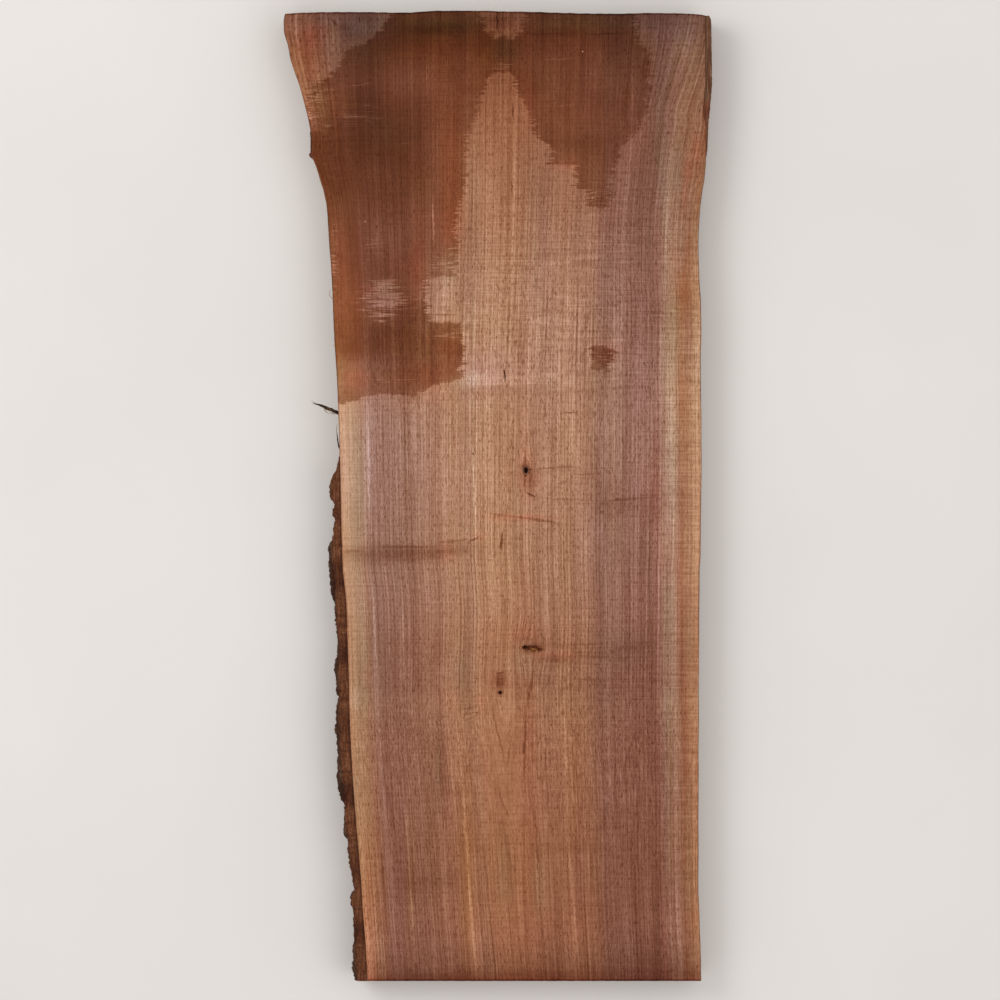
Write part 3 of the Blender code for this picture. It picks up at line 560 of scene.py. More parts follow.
def edge_offset(along, depth, side):
    """How far the natural edge stands out from the front arris at a depth below the face."""
    reach = depth - PITH_DEPTH
    log_round = np.sqrt(LOG_RADIUS**2 - reach**2) - math.sqrt(LOG_RADIUS**2 - PITH_DEPTH**2)
    flare = ease((along - FLARE_START) / FLARE_LENGTH)
    phase = 0.9 if side < 0 else 2.6
    wave = 0.5 - 0.5 * np.cos(along / FLUTE_LENGTH + depth / FLUTE_HEIGHT + phase)
    from_faces = np.sin(np.pi * np.clip(depth / THICKNESS, 0, 1))
    return log_round - (FLUTE_DEPTH + FLUTE_IN_FLARE * flare) * wave * from_faces


def live_edge(along, depth, side):
    """X of the natural edge; side is -1 for the left edge and +1 for the right."""
    outline = LEFT_EDGE if side < 0 else RIGHT_EDGE
    return smooth_curve(outline, along) + side * edge_offset(along, depth, side)


def soft_spots(spots, across, along):
    """Add up soft round spots of (X, Y, reach across, reach along, amount)."""
    total = np.zeros_like(across)
    for x, y, reach_across, reach_along, amount in spots:
        away = ((across - x) / reach_across) ** 2 + ((along - y) / reach_along) ** 2
        total += amount * np.exp(-away)
    return total


def outline_distance(outline, across, along):
    """Distance inside an outline, below zero outside, and how squarely X meets that outline."""
    nearest = np.full_like(across, 1e9)
    squareness = np.zeros_like(across)
    inside = np.zeros(across.shape, bool)
    for (x0, y0), (x1, y1) in zip(outline, outline[1:] + outline[:1]):
        run = np.array((x1 - x0, y1 - y0))
        share = ((across - x0) * run[0] + (along - y0) * run[1]) / (run @ run)
        share = np.clip(share, 0, 1)
        away_x = across - x0 - share * run[0]
        away = np.hypot(away_x, along - y0 - share * run[1])
        closer = away < nearest
        squareness = np.where(closer, np.abs(away_x) / np.maximum(away, 0.01), squareness)
        nearest = np.where(closer, away, nearest)
        crosses = (y0 > along) != (y1 > along)
        if y0 != y1:
            inside ^= crosses & (across < x0 + (along - y0) * run[0] / run[1])
    return np.where(inside, nearest, -nearest), squareness


def noise_at(points, size, seed):
    """Soft noise between about -1 and 1 at points in mm, with bumps of the given sizes in mm."""
    offset = Vector((seed * 17.3, seed * 5.1, seed * 9.7))
    scale = [1 / s for s in size]
    return np.array([noise.noise(Vector((x * scale[0], y * scale[1], z * scale[2])) + offset)
                     for x, y, z in points])


def deselect_all():
    for piece in bpy.context.selected_objects:
        piece.select_set(False)


def make_active(piece):
    deselect_all()
    piece.select_set(True)
    bpy.context.view_layer.objects.active = piece


def read_points(piece):
    """The mesh's vertices as rows of X, Y and Z in mm."""
    points = np.empty(len(piece.data.vertices) * 3)
    piece.data.vertices.foreach_get("co", points)
    return points.reshape(-1, 3) / MM


def write_points(piece, points):
    piece.data.vertices.foreach_set("co", (points * MM).ravel())
    piece.data.update()


def write_attribute(piece, name, values):
    """Store one number, or a row of three, for each vertex, for the materials to read."""
    kind, field = ("FLOAT", "value") if values.ndim == 1 else ("FLOAT_VECTOR", "vector")
    attribute = piece.data.attributes.new(name, kind, "POINT")
    attribute.data.foreach_set(field, np.ascontiguousarray(values, np.float32).ravel())


def add_box(name, low, high):
    """A plain box between two corners in mm, with its place in its mesh."""
    deselect_all()
    middle = [(a + b) / 2 * MM for a, b in zip(low, high)]
    bpy.ops.mesh.primitive_cube_add(size=1, location=middle)
    piece = bpy.context.object
    piece.name = name
    piece.scale = [(b - a) * MM for a, b in zip(low, high)]
    bpy.ops.object.transform_apply(location=True, rotation=True, scale=True)
    return piece


@contextmanager
def editing(kind):
    """Edit mode for the active piece, where a kind of element is selected, and back again."""
    bpy.ops.object.mode_set(mode="EDIT")
    bpy.ops.mesh.select_mode(type=kind)
    yield
    bpy.ops.object.mode_set(mode="OBJECT")


def subdivide_where(piece, elements, wanted, cuts):
    """Cut the wanted edges or faces into equal parts."""
    mesh = bmesh.from_edit_mesh(piece.data)
    for element in getattr(mesh, elements):
        element.select_set(wanted(element))
    mesh.select_flush_mode()
    bmesh.update_edit_mesh(piece.data)
    bpy.ops.mesh.subdivide(number_cuts=cuts)


def subdivide_along(piece, axis, cuts):
    """Cut every edge that runs along one axis."""
    def runs_along(edge):
        run = edge.verts[1].co - edge.verts[0].co
        return abs(run[axis]) > 0.999 * run.length

    subdivide_where(piece, "edges", runs_along, cuts)


def subdivide_near(piece, x, y, reach, cuts):
    """Cut the front faces round one place."""
    def is_near(face):
        middle = face.calc_center_median() / MM
        near = max(abs(middle.x - x), abs(middle.y - y)) < reach
        return near and middle.z > THICKNESS - 0.5

    subdivide_where(piece, "faces", is_near, cuts)


def place_on_slab(points):
    """Carry the points of a plain box over to the slab's own outline."""
    share = points[:, 0] / HALF_WIDTH / 2 + 0.5
    along = points[:, 1].copy()
    depth = THICKNESS - points[:, 2]
    near_butt = ease(1 + (along - LENGTH / 2) / BUTT_REACH)
    near_foot = ease(1 - (along + LENGTH / 2) / FOOT_REACH)
    ragged = noise_at(np.column_stack((share * 500, 0 * along, depth)), (9, 9, 14), 3)
    cut_start, cut_end = BUTT_CUT[0][0], BUTT_CUT[-1][0]
    bow = smooth_curve(BUTT_CUT, cut_start + (cut_end - cut_start) * share)
    along = along + near_butt * (bow + SAW_WANDER * ragged) - near_foot * SAW_WANDER / 2 * ragged
    left = live_edge(along, depth, -1)
    right = live_edge(along, depth, 1)
    at_edge = np.clip(1 - np.minimum(share, 1 - share) / TORN_SHARE, 0, 1)
    unrolled = np.column_stack((along, depth, share * 60))
    ripple = 1 + noise_at(unrolled, (38, 7, 9), 1) + 0.5 * noise_at(unrolled, (7, 4, 9), 2)
    across = left + (right - left) * share - np.sign(share - 0.5) * at_edge * TORN_DEPTH * ripple
    return np.column_stack((across, along, points[:, 2]))


def sink_knots(points):
    """Press the hollow of each knot into the face, and leave a core standing in the wide one."""
    on_face = points[:, 2] > THICKNESS - 0.5
    for x, y, half_width, half_height, deep in KNOTS:
        away = np.hypot((points[:, 0] - x) / half_width, (points[:, 1] - y) / half_height)
        bowl = deep * np.sqrt(np.clip(1 - away**2, 0, 1))
        core = CORE_SHARE * deep * ease((0.55 - away) / 0.3) if half_width > WIDE_KNOT else 0
        points[:, 2] -= np.where(on_face, bowl - core, 0)
    return points


def describe_grain(piece):
    """Store where each point lies in the log, and what the weather and the saw did to it."""
    across, along, up = read_points(piece).T
    pith = smooth_curve(PITH, along)
    left = smooth_curve(LEFT_EDGE, along)
    right = smooth_curve(RIGHT_EDGE, along)
    side_width = np.where(across < pith, pith - left, right - pith)
    from_pith = HALF_WIDTH * (across - pith) / side_width
    for x, y, half_width, _, _ in KNOTS:
        beside = (across - x) / (half_width + KNOT_BESIDE)
        near = np.exp(-beside ** 2 - ((along - y) / KNOT_ABOVE) ** 2)
        from_pith -= KNOT_BEND * near * (across - x)
    for lean, low, height, inner, width in RIGHT_LEANS:
        from_pith -= lean * ease((along - low) / height) * ease((across - inner) / width)
    sink = smooth_curve(PITH_SINK, along)
    below = THICKNESS - up - sink
    # The butt swells on the left, but only the outer rings lean out with it
    straight = np.maximum(left, LEFT_BEFORE_SWELL)
    swell = (pith - left) / (pith - straight)
    upright = (pith - across) / (pith - straight)
    upright = -HALF_WIDTH * (upright - (swell - 1) * (upright / swell) ** 4)
    upright -= HALF_WIDTH * (across - pith) / side_width
    fibre = from_pith + np.where(across < pith, upright, 0)
    write_attribute(piece, "grain", np.column_stack((fibre, along, below)))
    ring = np.sqrt(np.clip(from_pith**2 + below**2 - sink**2, 0, None))
    turned = np.clip(np.abs(below) - sink, 0, None)
    side = from_pith / np.maximum(np.hypot(from_pith, turned), 0.01)
    share = ring * side / HALF_WIDTH
    for shift, low, height, inner, width in SAPWOOD_SHIFTS:
        share -= shift * ease((along - low) / height) * ease((share - inner) / width)
    write_attribute(piece, "across", share)
    stain, fringe = outline_distance(WATER_STAIN, across, along)
    spot, spot_fringe = outline_distance(STAIN_SPOT, across, along)
    softened = 1 + soft_spots(SOFTENED, across, along)
    write_attribute(piece, "stain", np.maximum(stain, spot) / softened)
    frayed = EVEN_FRAY + soft_spots(FRAYED, across, along)
    write_attribute(piece, "fringe", frayed * np.where(spot > stain, spot_fringe, fringe))
    for name, (even, spots) in SPOTTED.items():
        write_attribute(piece, name, even + soft_spots(spots, across, along))
    bow = smooth_curve(BUTT_CUT, across)
    write_attribute(piece, "from_cut", np.minimum(LENGTH / 2 + bow - along, along + LENGTH / 2))
    write_attribute(piece, "from_bark", np.minimum(across - left, right - across))
    sapwood = ease((from_pith / HALF_WIDTH - SAPWOOD_START) / SAPWOOD_BLEND)
    write_attribute(piece, "curl", CURL_INSIDE + CURL_IN_SAPWOOD * sapwood)


def place_in_mm(tree):
    """Where each point lies on the slab, in mm."""
    metres = add_node(tree, "TexCoord").outputs["Object"]
    return add_node(tree, "VectorMath", metres, {"Scale": 1 / MM}, operation="SCALE")


def place_in_log(tree):
    """Where each point lies in the log: from the pith, seen end on, and as its ring's radius."""
    grain = add_node(tree, "Attribute", attribute_name="grain").outputs["Vector"]
    end_on = add_node(tree, "VectorMath", grain, (1, 0, 1), operation="MULTIPLY")
    ring = add_node(tree, "VectorMath", end_on, operation="LENGTH").outputs["Value"]
    return grain, end_on, ring


def swing(tree, place, size, amount, detail=1.0):
    """A tone that swings up and down by about amount, in streaks of the given sizes in mm."""
    scaled = add_node(tree, "VectorMath", place, [1 / s for s in size], operation="MULTIPLY")
    streaks = add_node(tree, "TexNoise", {"Vector": scaled, "Scale": 1.0, "Detail": detail})
    return add_node(tree, "MapRange", streaks, NOISE_LOW, NOISE_HIGH, -amount, amount, clamp=False)


def total_of(tree, tones):
    """Add tones up, one after the other."""
    total = tones[0]
    for tone in tones[1:]:
        total = add_node(tree, "Math", total, tone, operation="ADD")
    return total


def deepen(tree, colour, tones):
    """A power of a brown, so that darker also means redder; tones are shares of brightness."""
    power = add_node(tree, "Math", 1.0, total_of(tree, tones), operation="SUBTRACT")
    return add_node(tree, "Gamma", colour, power)


def read_number(tree, name):
    """The number that each point carries under this name."""
    return add_node(tree, "Attribute", attribute_name=name).outputs["Fac"]


def face_marks(tree, place):
    """Streaks, scratches and spots on the sawn face, each strongest in its middle."""
    wobble = add_node(tree, "TexNoise", {"Vector": place, "Scale": 0.14, "Detail": 1.0})
    wobble = add_node(tree, "VectorMath", wobble.outputs["Color"], (0.5, 0.5, 0.5),
                      operation="SUBTRACT")
    place = add_node(tree, "VectorMath", wobble, (4.0, 4.0, 0), place, operation="MULTIPLY_ADD")
    height = add_node(tree, "VectorMath", place, (0, 0, 1 / MARK_DEPTH),
                      operation="DOT_PRODUCT").outputs["Value"]
    total = None
    for x, y, half_width, half_length, turn, amount in FACE_MARKS:
        turn = math.radians(turn)
        centre = Vector((x, y, THICKNESS))
        across = Vector((math.cos(turn), math.sin(turn), 0)) / half_width
        along = Vector((-math.sin(turn), math.cos(turn), 0)) / half_length
        spans = [add_node(tree, "VectorMath", place, axis, operation="DOT_PRODUCT").outputs["Value"]
                 for axis in (across, along)]
        local = add_node(tree, "CombineXYZ", *spans, height)
        middle = (centre @ across, centre @ along, THICKNESS / MARK_DEPTH)
        reach = add_node(tree, "VectorMath", local, middle, operation="DISTANCE")
        mark = add_node(tree, "MapRange", reach.outputs["Value"], 0.3, 1.0, amount, 0.0,
                        interpolation_type="SMOOTHSTEP")
        # Summed one at a time, because the renderer can hold few values at once
        total = total_of(tree, [total, mark]) if total else mark
    return total


def stain_mask(tree, place):
    """Where water stood: crisp along the saw lines, and combed out into streaks across them."""
    comb = swing(tree, place, (13, 1.9, 40), 1.0, 2.0)
    uneven = swing(tree, place, (8, 8, 9), 1.6)
    reach = add_node(tree, "Math", comb, read_number(tree, "fringe"), operation="MULTIPLY")
    distance = add_node(tree, "Math", reach, 7.0, read_number(tree, "stain"),
                        operation="MULTIPLY_ADD")
    distance = add_node(tree, "Math", distance, uneven, operation="ADD")
    wet = add_node(tree, "MapRange", distance, -1.2, 2.2, interpolation_type="SMOOTHSTEP")
    fine_comb = swing(tree, place, (22, 1.5, 40), 0.6, 2.0)
    dryness = add_node(tree, "Math", read_number(tree, "dry"), fine_comb, operation="ADD")
    dry = add_node(tree, "MapRange", dryness, 0.5, 1.15, 1.0, 0.05, interpolation_type="SMOOTHSTEP")
    return add_node(tree, "Math", wet, dry, operation="MULTIPLY")


def build_figure():
    """The walnut's figure, shared by the sawn faces, the end grain and the natural edges.

    Tones are shares of brightness: each is a power of one brown, so that darker also means redder.
    """
    tree = bpy.data.node_groups.new("walnut_figure", "ShaderNodeTree")
    for name, kind in (("Colour", "Color"), ("Relief", "Float"), ("Wetness", "Float"),
                       ("Rings", "Float")):
        tree.interface.new_socket(name, in_out="OUTPUT", socket_type="NodeSocket" + kind)
    tree.interface.new_socket("Marks", in_out="INPUT", socket_type="NodeSocketFloat")
    place = place_in_mm(tree)
    grain, _, ring = place_in_log(tree)
    parts = add_node(tree, "SeparateXYZ", grain)
    side = add_node(tree, "Math", parts.outputs["X"], ring, operation="DIVIDE")
    rings = add_node(tree, "CombineXYZ", ring, parts.outputs["Y"], side)

    wet = stain_mask(tree, place)
    # Each growth ring ends in a thin dark line of late wood
    drift = swing(tree, rings, (24, 420, 1.6), 2.2, 2.0)
    phase = add_node(tree, "Math", ring, math.tau / RING_WIDTH, drift, operation="MULTIPLY_ADD")
    phase = add_node(tree, "Math", phase, operation="SINE")
    late_wood = add_node(tree, "MapRange", phase, 0.35, 1.0, 0.02, -0.11)
    bands = swing(tree, rings, (15, 700, 1.6), 0.055)
    growth = swing(tree, rings, (3.4, 420, 1.6), 0.09, 2.0)
    # Fibres and vessels are 0.1 to 0.2 mm across, and drawn about 1 mm wide so that they show
    fibres = swing(tree, grain, (1.35, 140, 1.35), 0.155)
    short_fibres = swing(tree, grain, (1.2, 10, 1.2), 0.085, 2.0)
    vessels = add_node(tree, "VectorMath", grain, (1 / 1.1, 1 / 5.5, 1 / 1.1), operation="MULTIPLY")
    vessels = add_node(tree, "TexNoise", {"Vector": vessels, "Scale": 1.0, "Detail": 0.0})
    vessels = add_node(tree, "MapRange", vessels, 0.58, 0.74, 0.02, -0.30)
    grit = swing(tree, place, (1.5, 1.7, 1.5), 0.08)
    # The band saw left a line about every 2.5 mm, square across the grain
    sawn_over = add_node(tree, "Math", wet, -0.15, read_number(tree, "washboard"),
                         operation="MULTIPLY_ADD")
    saw_lines = swing(tree, place, (45, 2.1, 70), 0.085, 1.0)
    saw_lines = add_node(tree, "Math", saw_lines, sawn_over, operation="MULTIPLY")
    # Sapwood on the right has a fine curl across the grain
    curl = swing(tree, place, (15, 5, 24), 1.0, 2.0)
    curl = add_node(tree, "Math", curl, read_number(tree, "curl"), operation="MULTIPLY")

    # Wet wood shows its fibres less
    fine = total_of(tree, [late_wood, growth, fibres, short_fibres, vessels, grit])
    softened = add_node(tree, "Math", wet, -0.1, read_number(tree, "liveliness"),
                        operation="MULTIPLY_ADD")
    fine = add_node(tree, "Math", fine, softened, operation="MULTIPLY")
    cloud = swing(tree, grain, (30, 110, 30), 0.03)
    marks = add_node(tree, "NodeGroupInput").outputs["Marks"]
    shade = read_number(tree, "shade")
    tone = total_of(tree, [fine, bands, cloud, saw_lines, curl, shade, marks])

    base = run_of_colours(tree, read_number(tree, "across"), TONE_ACROSS, 1.0)
    # Painted light and shade, and weathering, change the tone along the plank
    tint = run_of_colours(tree, parts.outputs["Y"], LIGHT_AND_WEATHER_ALONG, TINT_REACH)
    base = add_node(tree, "VectorMath", base, tint, operation="MULTIPLY")
    base = add_node(tree, "VectorMath", base, linear(NEUTRAL), operation="DIVIDE")

    blotches = swing(tree, place, (40, 60, 40), 0.12, 3.0)
    runs = swing(tree, grain, (6, 200, 6), 0.1)
    soaked = total_of(tree, [read_number(tree, "soak"), blotches, runs])
    soaked = add_node(tree, "Math", wet, soaked, operation="MULTIPLY")
    settings = bpy.context.scene.walnut_wood
    water = add_node(tree, "Gamma", (*settings.stain, 1.0), soaked)
    base = add_node(tree, "VectorMath", base, water, operation="MULTIPLY")

    for name, tinge in TINGES.items():
        tinge = add_node(tree, "VectorMath", tinge, {"Scale": read_number(tree, name)},
                         operation="SCALE")
        tinge = add_node(tree, "VectorMath", tinge, (1, 1, 1), operation="ADD")
        base = add_node(tree, "VectorMath", base, tinge, operation="MULTIPLY")

    darker = deepen(tree, (*settings.grain_brown, 1.0), [tone])
    base = add_node(tree, "VectorMath", base, darker, operation="MULTIPLY")
    colour = add_node(tree, "VectorMath", base, settings.grain_brown, operation="DIVIDE")

    relief = total_of(tree, [fibres, short_fibres, vessels, grit, saw_lines, saw_lines])
    add_node(tree, "NodeGroupOutput",
             {"Colour": colour, "Relief": relief, "Wetness": wet, "Rings": late_wood})
    return tree


def new_material(name, roughness, gloss):
    """An empty material, as rough and as glossy as said, and its node tree."""
    material = bpy.data.materials.new(name)
    material.use_nodes = True
    tree = material.node_tree
    shader = tree.nodes["Principled BSDF"]
    shader.inputs["Roughness"].default_value = roughness
    shader.inputs["Specular IOR Level"].default_value = gloss
    return material, tree


def cover(tree, colour, height=None, strength=1.0):
    """Lead the colour to the shader, and the height as relief up to a millimetre deep."""
    shader = tree.nodes["Principled BSDF"]
    tree.links.new(colour, shader.inputs["Base Color"])
    if height is not None:
        bump = add_node(tree, "Bump", {"Height": height, "Distance": MM, "Strength": strength})
        tree.links.new(bump.outputs[0], shader.inputs["Normal"])


def sawn_walnut(figure):
    """Air-dried black walnut off the band saw: matt and woolly, with faint lines across it."""
    material, tree = new_material("walnut_rough_band_sawn", 0.78, 0.06)
    marks = face_marks(tree, place_in_mm(tree))
    wood = add_node(tree, "Group", {"Marks": marks}, node_tree=figure)
    rough = add_node(tree, "MapRange", wood.outputs["Wetness"], 0.0, 1.0, 0.78, 0.66)
    # The arris is drawn darker within a few millimetres of its edge, most of all along the saw cuts
    cut_rim = add_node(tree, "MapRange", read_number(tree, "from_cut"), 0.6, 2.8, 1.55, 1.0)
    bark_rim = add_node(tree, "MapRange", read_number(tree, "from_bark"), 0.6, 2.2, 1.3, 1.0)
    rim = add_node(tree, "Math", cut_rim, bark_rim, operation="MULTIPLY")
    colour = add_node(tree, "Gamma", wood.outputs["Colour"], rim)
    tree.links.new(rough.outputs[0], tree.nodes["Principled BSDF"].inputs["Roughness"])
    cover(tree, colour.outputs[0], wood.outputs["Relief"], 0.6)
    return material


def end_grain_walnut(figure):
    """Walnut sawn square across: open pores drink the light, so rings read on a darker brown."""
    material, tree = new_material("walnut_end_grain_sawn", 0.85, 0.2)
    wood = add_node(tree, "Group", node_tree=figure)
    place = place_in_mm(tree)
    # Chain saw scores, a few millimetres apart and a little aslant
    turned = add_node(tree, "Mapping", {0: place, 2: (0, math.radians(64), 0)})
    scores = swing(tree, turned, (90, 90, 1.8), 0.13, 2.0)
    pores = swing(tree, place, (1.3, 60, 1.3), 0.16)
    rings = add_node(tree, "Math", wood.outputs["Rings"], 2.2, operation="MULTIPLY")
    # Drying checks run out from the pith; their dark lines are painted shade inside the cracks
    _, end_on, ring = place_in_log(tree)
    spoke = add_node(tree, "VectorMath", end_on, operation="NORMALIZE")
    checks = swing(tree, spoke, (0.1, 1, 0.1), 1.0)
    checks = add_node(tree, "MapRange", checks, 0.8, 0.95, 0.0, -0.8)
    near_pith = add_node(tree, "MapRange", ring, 40.0, 120.0, 1.0, 0.0)
    checks = add_node(tree, "Math", checks, near_pith, operation="MULTIPLY")
    tone = total_of(tree, [scores, pores, rings, checks])
    power = add_node(tree, "MapRange", tone, -1.0, 1.0, 2.5, -0.1, clamp=False)
    wood_colour = add_node(tree, "Gamma", wood.outputs["Colour"], power)
    colour = add_node(tree, "Mix", {0: 0.25, 6: wood_colour, 7: (*linear("8d7868"), 1)},
                      data_type="RGBA")
    cover(tree, colour.outputs[2], tone.outputs[0], 0.8)
    return material


def edge_walnut(figure):
    """Walnut where the bark came off: ridged tan sapwood under a torn brown film of bast."""
    material, tree = new_material("walnut_debarked_edge", 0.7, 0.25)
    wood = add_node(tree, "Group", node_tree=figure)
    grain = add_node(tree, "Attribute", attribute_name="grain").outputs["Vector"]
    ridges = swing(tree, grain, (7, 110, 2.4), 0.2, 3.0)
    fibres = swing(tree, grain, (3, 34, 1.1), 0.14, 1.0)
    film = swing(tree, grain, (12, 90, 8), 0.5, 4.0)
    film = add_node(tree, "Math", film, fibres, operation="ADD")
    covered = add_node(tree, "MapRange", film, -0.22, 0.3, 0.15, 0.92,
                       interpolation_type="SMOOTHSTEP")
    scuffs = swing(tree, grain, (9, 26, 5), 0.5, 3.0)
    scuffed = add_node(tree, "MapRange", scuffs, 0.2, 0.55, 0.0, 0.4)
    bare = add_node(tree, "Mix", {0: scuffed, 6: (*linear("8f6648"), 1), 7: (*linear("b08e6c"), 1)},
                    data_type="RGBA").outputs[2]
    bast = add_node(tree, "Mix", {0: covered, 6: bare, 7: (*linear("573a27"), 1)},
                    data_type="RGBA").outputs[2]
    tone = total_of(tree, [ridges, fibres])
    soaked = add_node(tree, "Math", wood.outputs["Wetness"], -0.12, tone, operation="MULTIPLY_ADD")
    height = total_of(tree, [ridges, fibres, covered])
    cover(tree, deepen(tree, bast, [soaked]).outputs[0], height.outputs[0], 0.8)
    return material


def weathered_bark():
    """Black walnut bark: a reddish inner layer, then grey-brown ridges, with furrows and cracks
    darkened by painted shade.
    """
    material, tree = new_material("walnut_bark_weathered", 0.92, 0.2)
    settings = bpy.context.scene.walnut_bark
    place = place_in_mm(tree)
    outward = read_number(tree, "outward")
    ragged = swing(tree, place, (5, 12, 6), 1.6, 2.0)
    reach = add_node(tree, "Math", outward, ragged, operation="ADD")
    layers = add_node(tree, "MapRange", reach, 9.0, 15.0, interpolation_type="SMOOTHSTEP")
    plates = swing(tree, place, (9, 26, 9), 0.5, 4.0)
    lichen = add_node(tree, "MapRange", plates, 0.05, 0.5, interpolation_type="SMOOTHSTEP")
    outer = add_node(tree, "Mix", {0: lichen, 6: (*settings.outer, 1), 7: (*settings.weathered, 1)},
                     data_type="RGBA").outputs[2]
    colour = add_node(tree, "Mix", {0: layers, 6: (*settings.inner, 1), 7: outer},
                      data_type="RGBA").outputs[2]
    fibres = swing(tree, place, (1.4, 16, 1.4), 0.28, 2.0)
    crumbs = swing(tree, place, (2.4, 2.4, 2.4), 0.24, 2.0)
    seam = add_node(tree, "MapRange", outward, 0.3, 1.6, -0.3, 0.0)
    # Painted shade: the furrows and cracks are drawn darker
    hollow = add_node(tree, "MapRange", read_number(tree, "furrow"), 0.0, 1.0, 0.1, -0.8)
    brown = linear("8a7060")
    darker = deepen(tree, (*brown, 1.0), [fibres, crumbs, seam, hollow])
    colour = add_node(tree, "VectorMath", colour, darker, operation="MULTIPLY")
    colour = add_node(tree, "VectorMath", colour, brown, operation="DIVIDE")
    height = total_of(tree, [fibres, crumbs, plates])
    cover(tree, colour.outputs[0], height.outputs[0])
    return material


def torn_bast(name, weathered, torn):
    """Inner bark torn along its fibres: stringy, silky along each strand, redder where fresh."""
    material, tree = new_material(name, 0.75, 0.2)
    place = place_in_mm(tree)
    strands = swing(tree, place, (1.3, 20, 1.3), 0.26, 2.0)
    blotches = swing(tree, place, (3, 7, 5), 0.5, 3.0)
    freshness = add_node(tree, "Math", read_number(tree, "torn"), blotches, operation="ADD")
    fresh = add_node(tree, "MapRange", freshness, 0.25, 0.75, interpolation_type="SMOOTHSTEP")
    colour = add_node(tree, "Mix", {0: fresh, 6: (*linear(weathered), 1), 7: (*linear(torn), 1)},
                      data_type="RGBA").outputs[2]
    # Painted shade: the lowest blotches are drawn darker, as pits
    pit_shade = add_node(tree, "MapRange", blotches, -0.7, -0.4, -0.6, 0.0)
    cover(tree, deepen(tree, colour, [strands, pit_shade]).outputs[0], strands.outputs[0])
    return material


def pale_floor():
    """Painted screed: flat, matt and pale, with a barely uneven tone."""
    material, tree = new_material("floor_painted_screed", 0.9, 0.2)
    settings = bpy.context.scene.walnut_stage
    object_place = add_node(tree, "TexCoord").outputs["Object"]
    patches = add_node(tree, "TexNoise", {"Vector": object_place, "Scale": 2.0, "Detail": 3.0})
    share = add_node(tree, "MapRange", patches, NOISE_LOW, NOISE_HIGH)
    darker = [0.95 * c for c in settings.floor]
    colour = add_node(tree, "Mix", {0: share, 6: (*settings.floor, 1), 7: (*darker, 1)},
                      data_type="RGBA").outputs[2]
    cover(tree, colour)
    return material


def build_slab(settings):
    """Cut a box into small cells, carry it over to the slab's outline and sink the knots."""
    slab = add_box("walnut_slab", (-HALF_WIDTH, -LENGTH / 2, 0),
                   (HALF_WIDTH, LENGTH / 2, THICKNESS))
    cell = settings.cell / MM
    with editing("EDGE"):
        # Cut in two steps, first into a few broad strips
        for axis, reach, strips in ((0, 2 * HALF_WIDTH * WIDEST, 10), (1, LENGTH, 18)):
            subdivide_along(slab, axis, strips - 1)
            subdivide_along(slab, axis, round(reach / cell / strips) - 1)
        subdivide_along(slab, 2, settings.edge_cells - 1)
    write_points(slab, place_on_slab(read_points(slab)))
    with editing("FACE"):
        for x, y, half_width, half_height, _ in KNOTS:
            subdivide_near(slab, x, y, max(half_width, half_height) + 3, 3)
    write_points(slab, sink_knots(read_points(slab)))
    return slab


def finish_arris(slab, width):
    """Round the sawn arrises by a hair, as handling does."""
    make_active(slab)
    bevel = slab.modifiers.new("worn arris", "BEVEL")
    bevel.width = width
    bevel.segments = 1
    bevel.limit_method = "ANGLE"
    bevel.angle_limit = math.radians(60)
    bpy.ops.object.modifier_apply(modifier=bevel.name)
    bpy.ops.object.shade_smooth_by_angle(angle=math.radians(38))


def dress_faces(slab):
    """Give the sawn faces, the ends and the natural edges their own material."""
    figure = build_figure()
    for material in (sawn_walnut(figure), end_grain_walnut(figure), edge_walnut(figure)):
        slab.data.materials.append(material)
    for polygon in slab.data.polygons:
        x, y, z = (abs(v) for v in polygon.normal)
        polygon.material_index = 0 if z > 0.8 else (1 if y > x else 2)


class WalnutWoodSettings(bpy.types.PropertyGroup):
    """Sizes and colours of the plank."""

    cell: FloatProperty(name="Cell size", description="Size of the plank's mesh cells",
                        default=4.0 * MM, min=2 * MM, max=20 * MM, unit="LENGTH",
                        subtype="DISTANCE")
    edge_cells: IntProperty(name="Edge cells", description="Mesh cells through the thickness",
                            default=14, min=4, max=30)
    arris: FloatProperty(name="Worn arris", description="Width of the worn sawn arrises",
                         default=0.8 * MM, min=0.1 * MM, max=3 * MM, unit="LENGTH",
                         subtype="DISTANCE")
    grain_brown: FloatVectorProperty(name="Grain brown", subtype="COLOR", size=3,
                                     description="Brown whose powers make the lines of the grain",
                                     default=linear("7f5e4b"), min=0, max=1)
    stain: FloatVectorProperty(name="Water stain", subtype="COLOR", size=3,
                               description="What water does to the wood's colour",
                               default=linear("ab8a72"), min=0, max=1)


class WalnutBarkSettings(bpy.types.PropertyGroup):
    """Colours of the outer bark."""

    inner: FloatVectorProperty(name="Inner bark", subtype="COLOR", size=3,
                               description="Sawn inner layer next to the wood",
                               default=linear("5c331d"), min=0, max=1)
    outer: FloatVectorProperty(name="Outer bark", subtype="COLOR", size=3,
                               description="Ridged outer layer",
                               default=linear("43291b"), min=0, max=1)
    weathered: FloatVectorProperty(name="Weathered bark", subtype="COLOR", size=3,
                                   description="Ridges that the weather has greyed",
                                   default=linear("59432f"), min=0, max=1)


class WalnutStageSettings(bpy.types.PropertyGroup):
    """The studio round the slab."""

    floor: FloatVectorProperty(name="Floor", description="Colour of the floor", subtype="COLOR",
                               size=3, default=linear("e4dfda"), min=0, max=1)
    camera_height: FloatProperty(name="Camera height", default=4.0, min=1, max=20,
                                 description="Height of the camera above the sawn face",
                                 unit="LENGTH", subtype="DISTANCE")
    frame_width: FloatProperty(name="Frame width", default=1.26, min=0.2, max=5,
                               description="Width that the picture spans at the sawn face",
                               unit="LENGTH", subtype="DISTANCE")


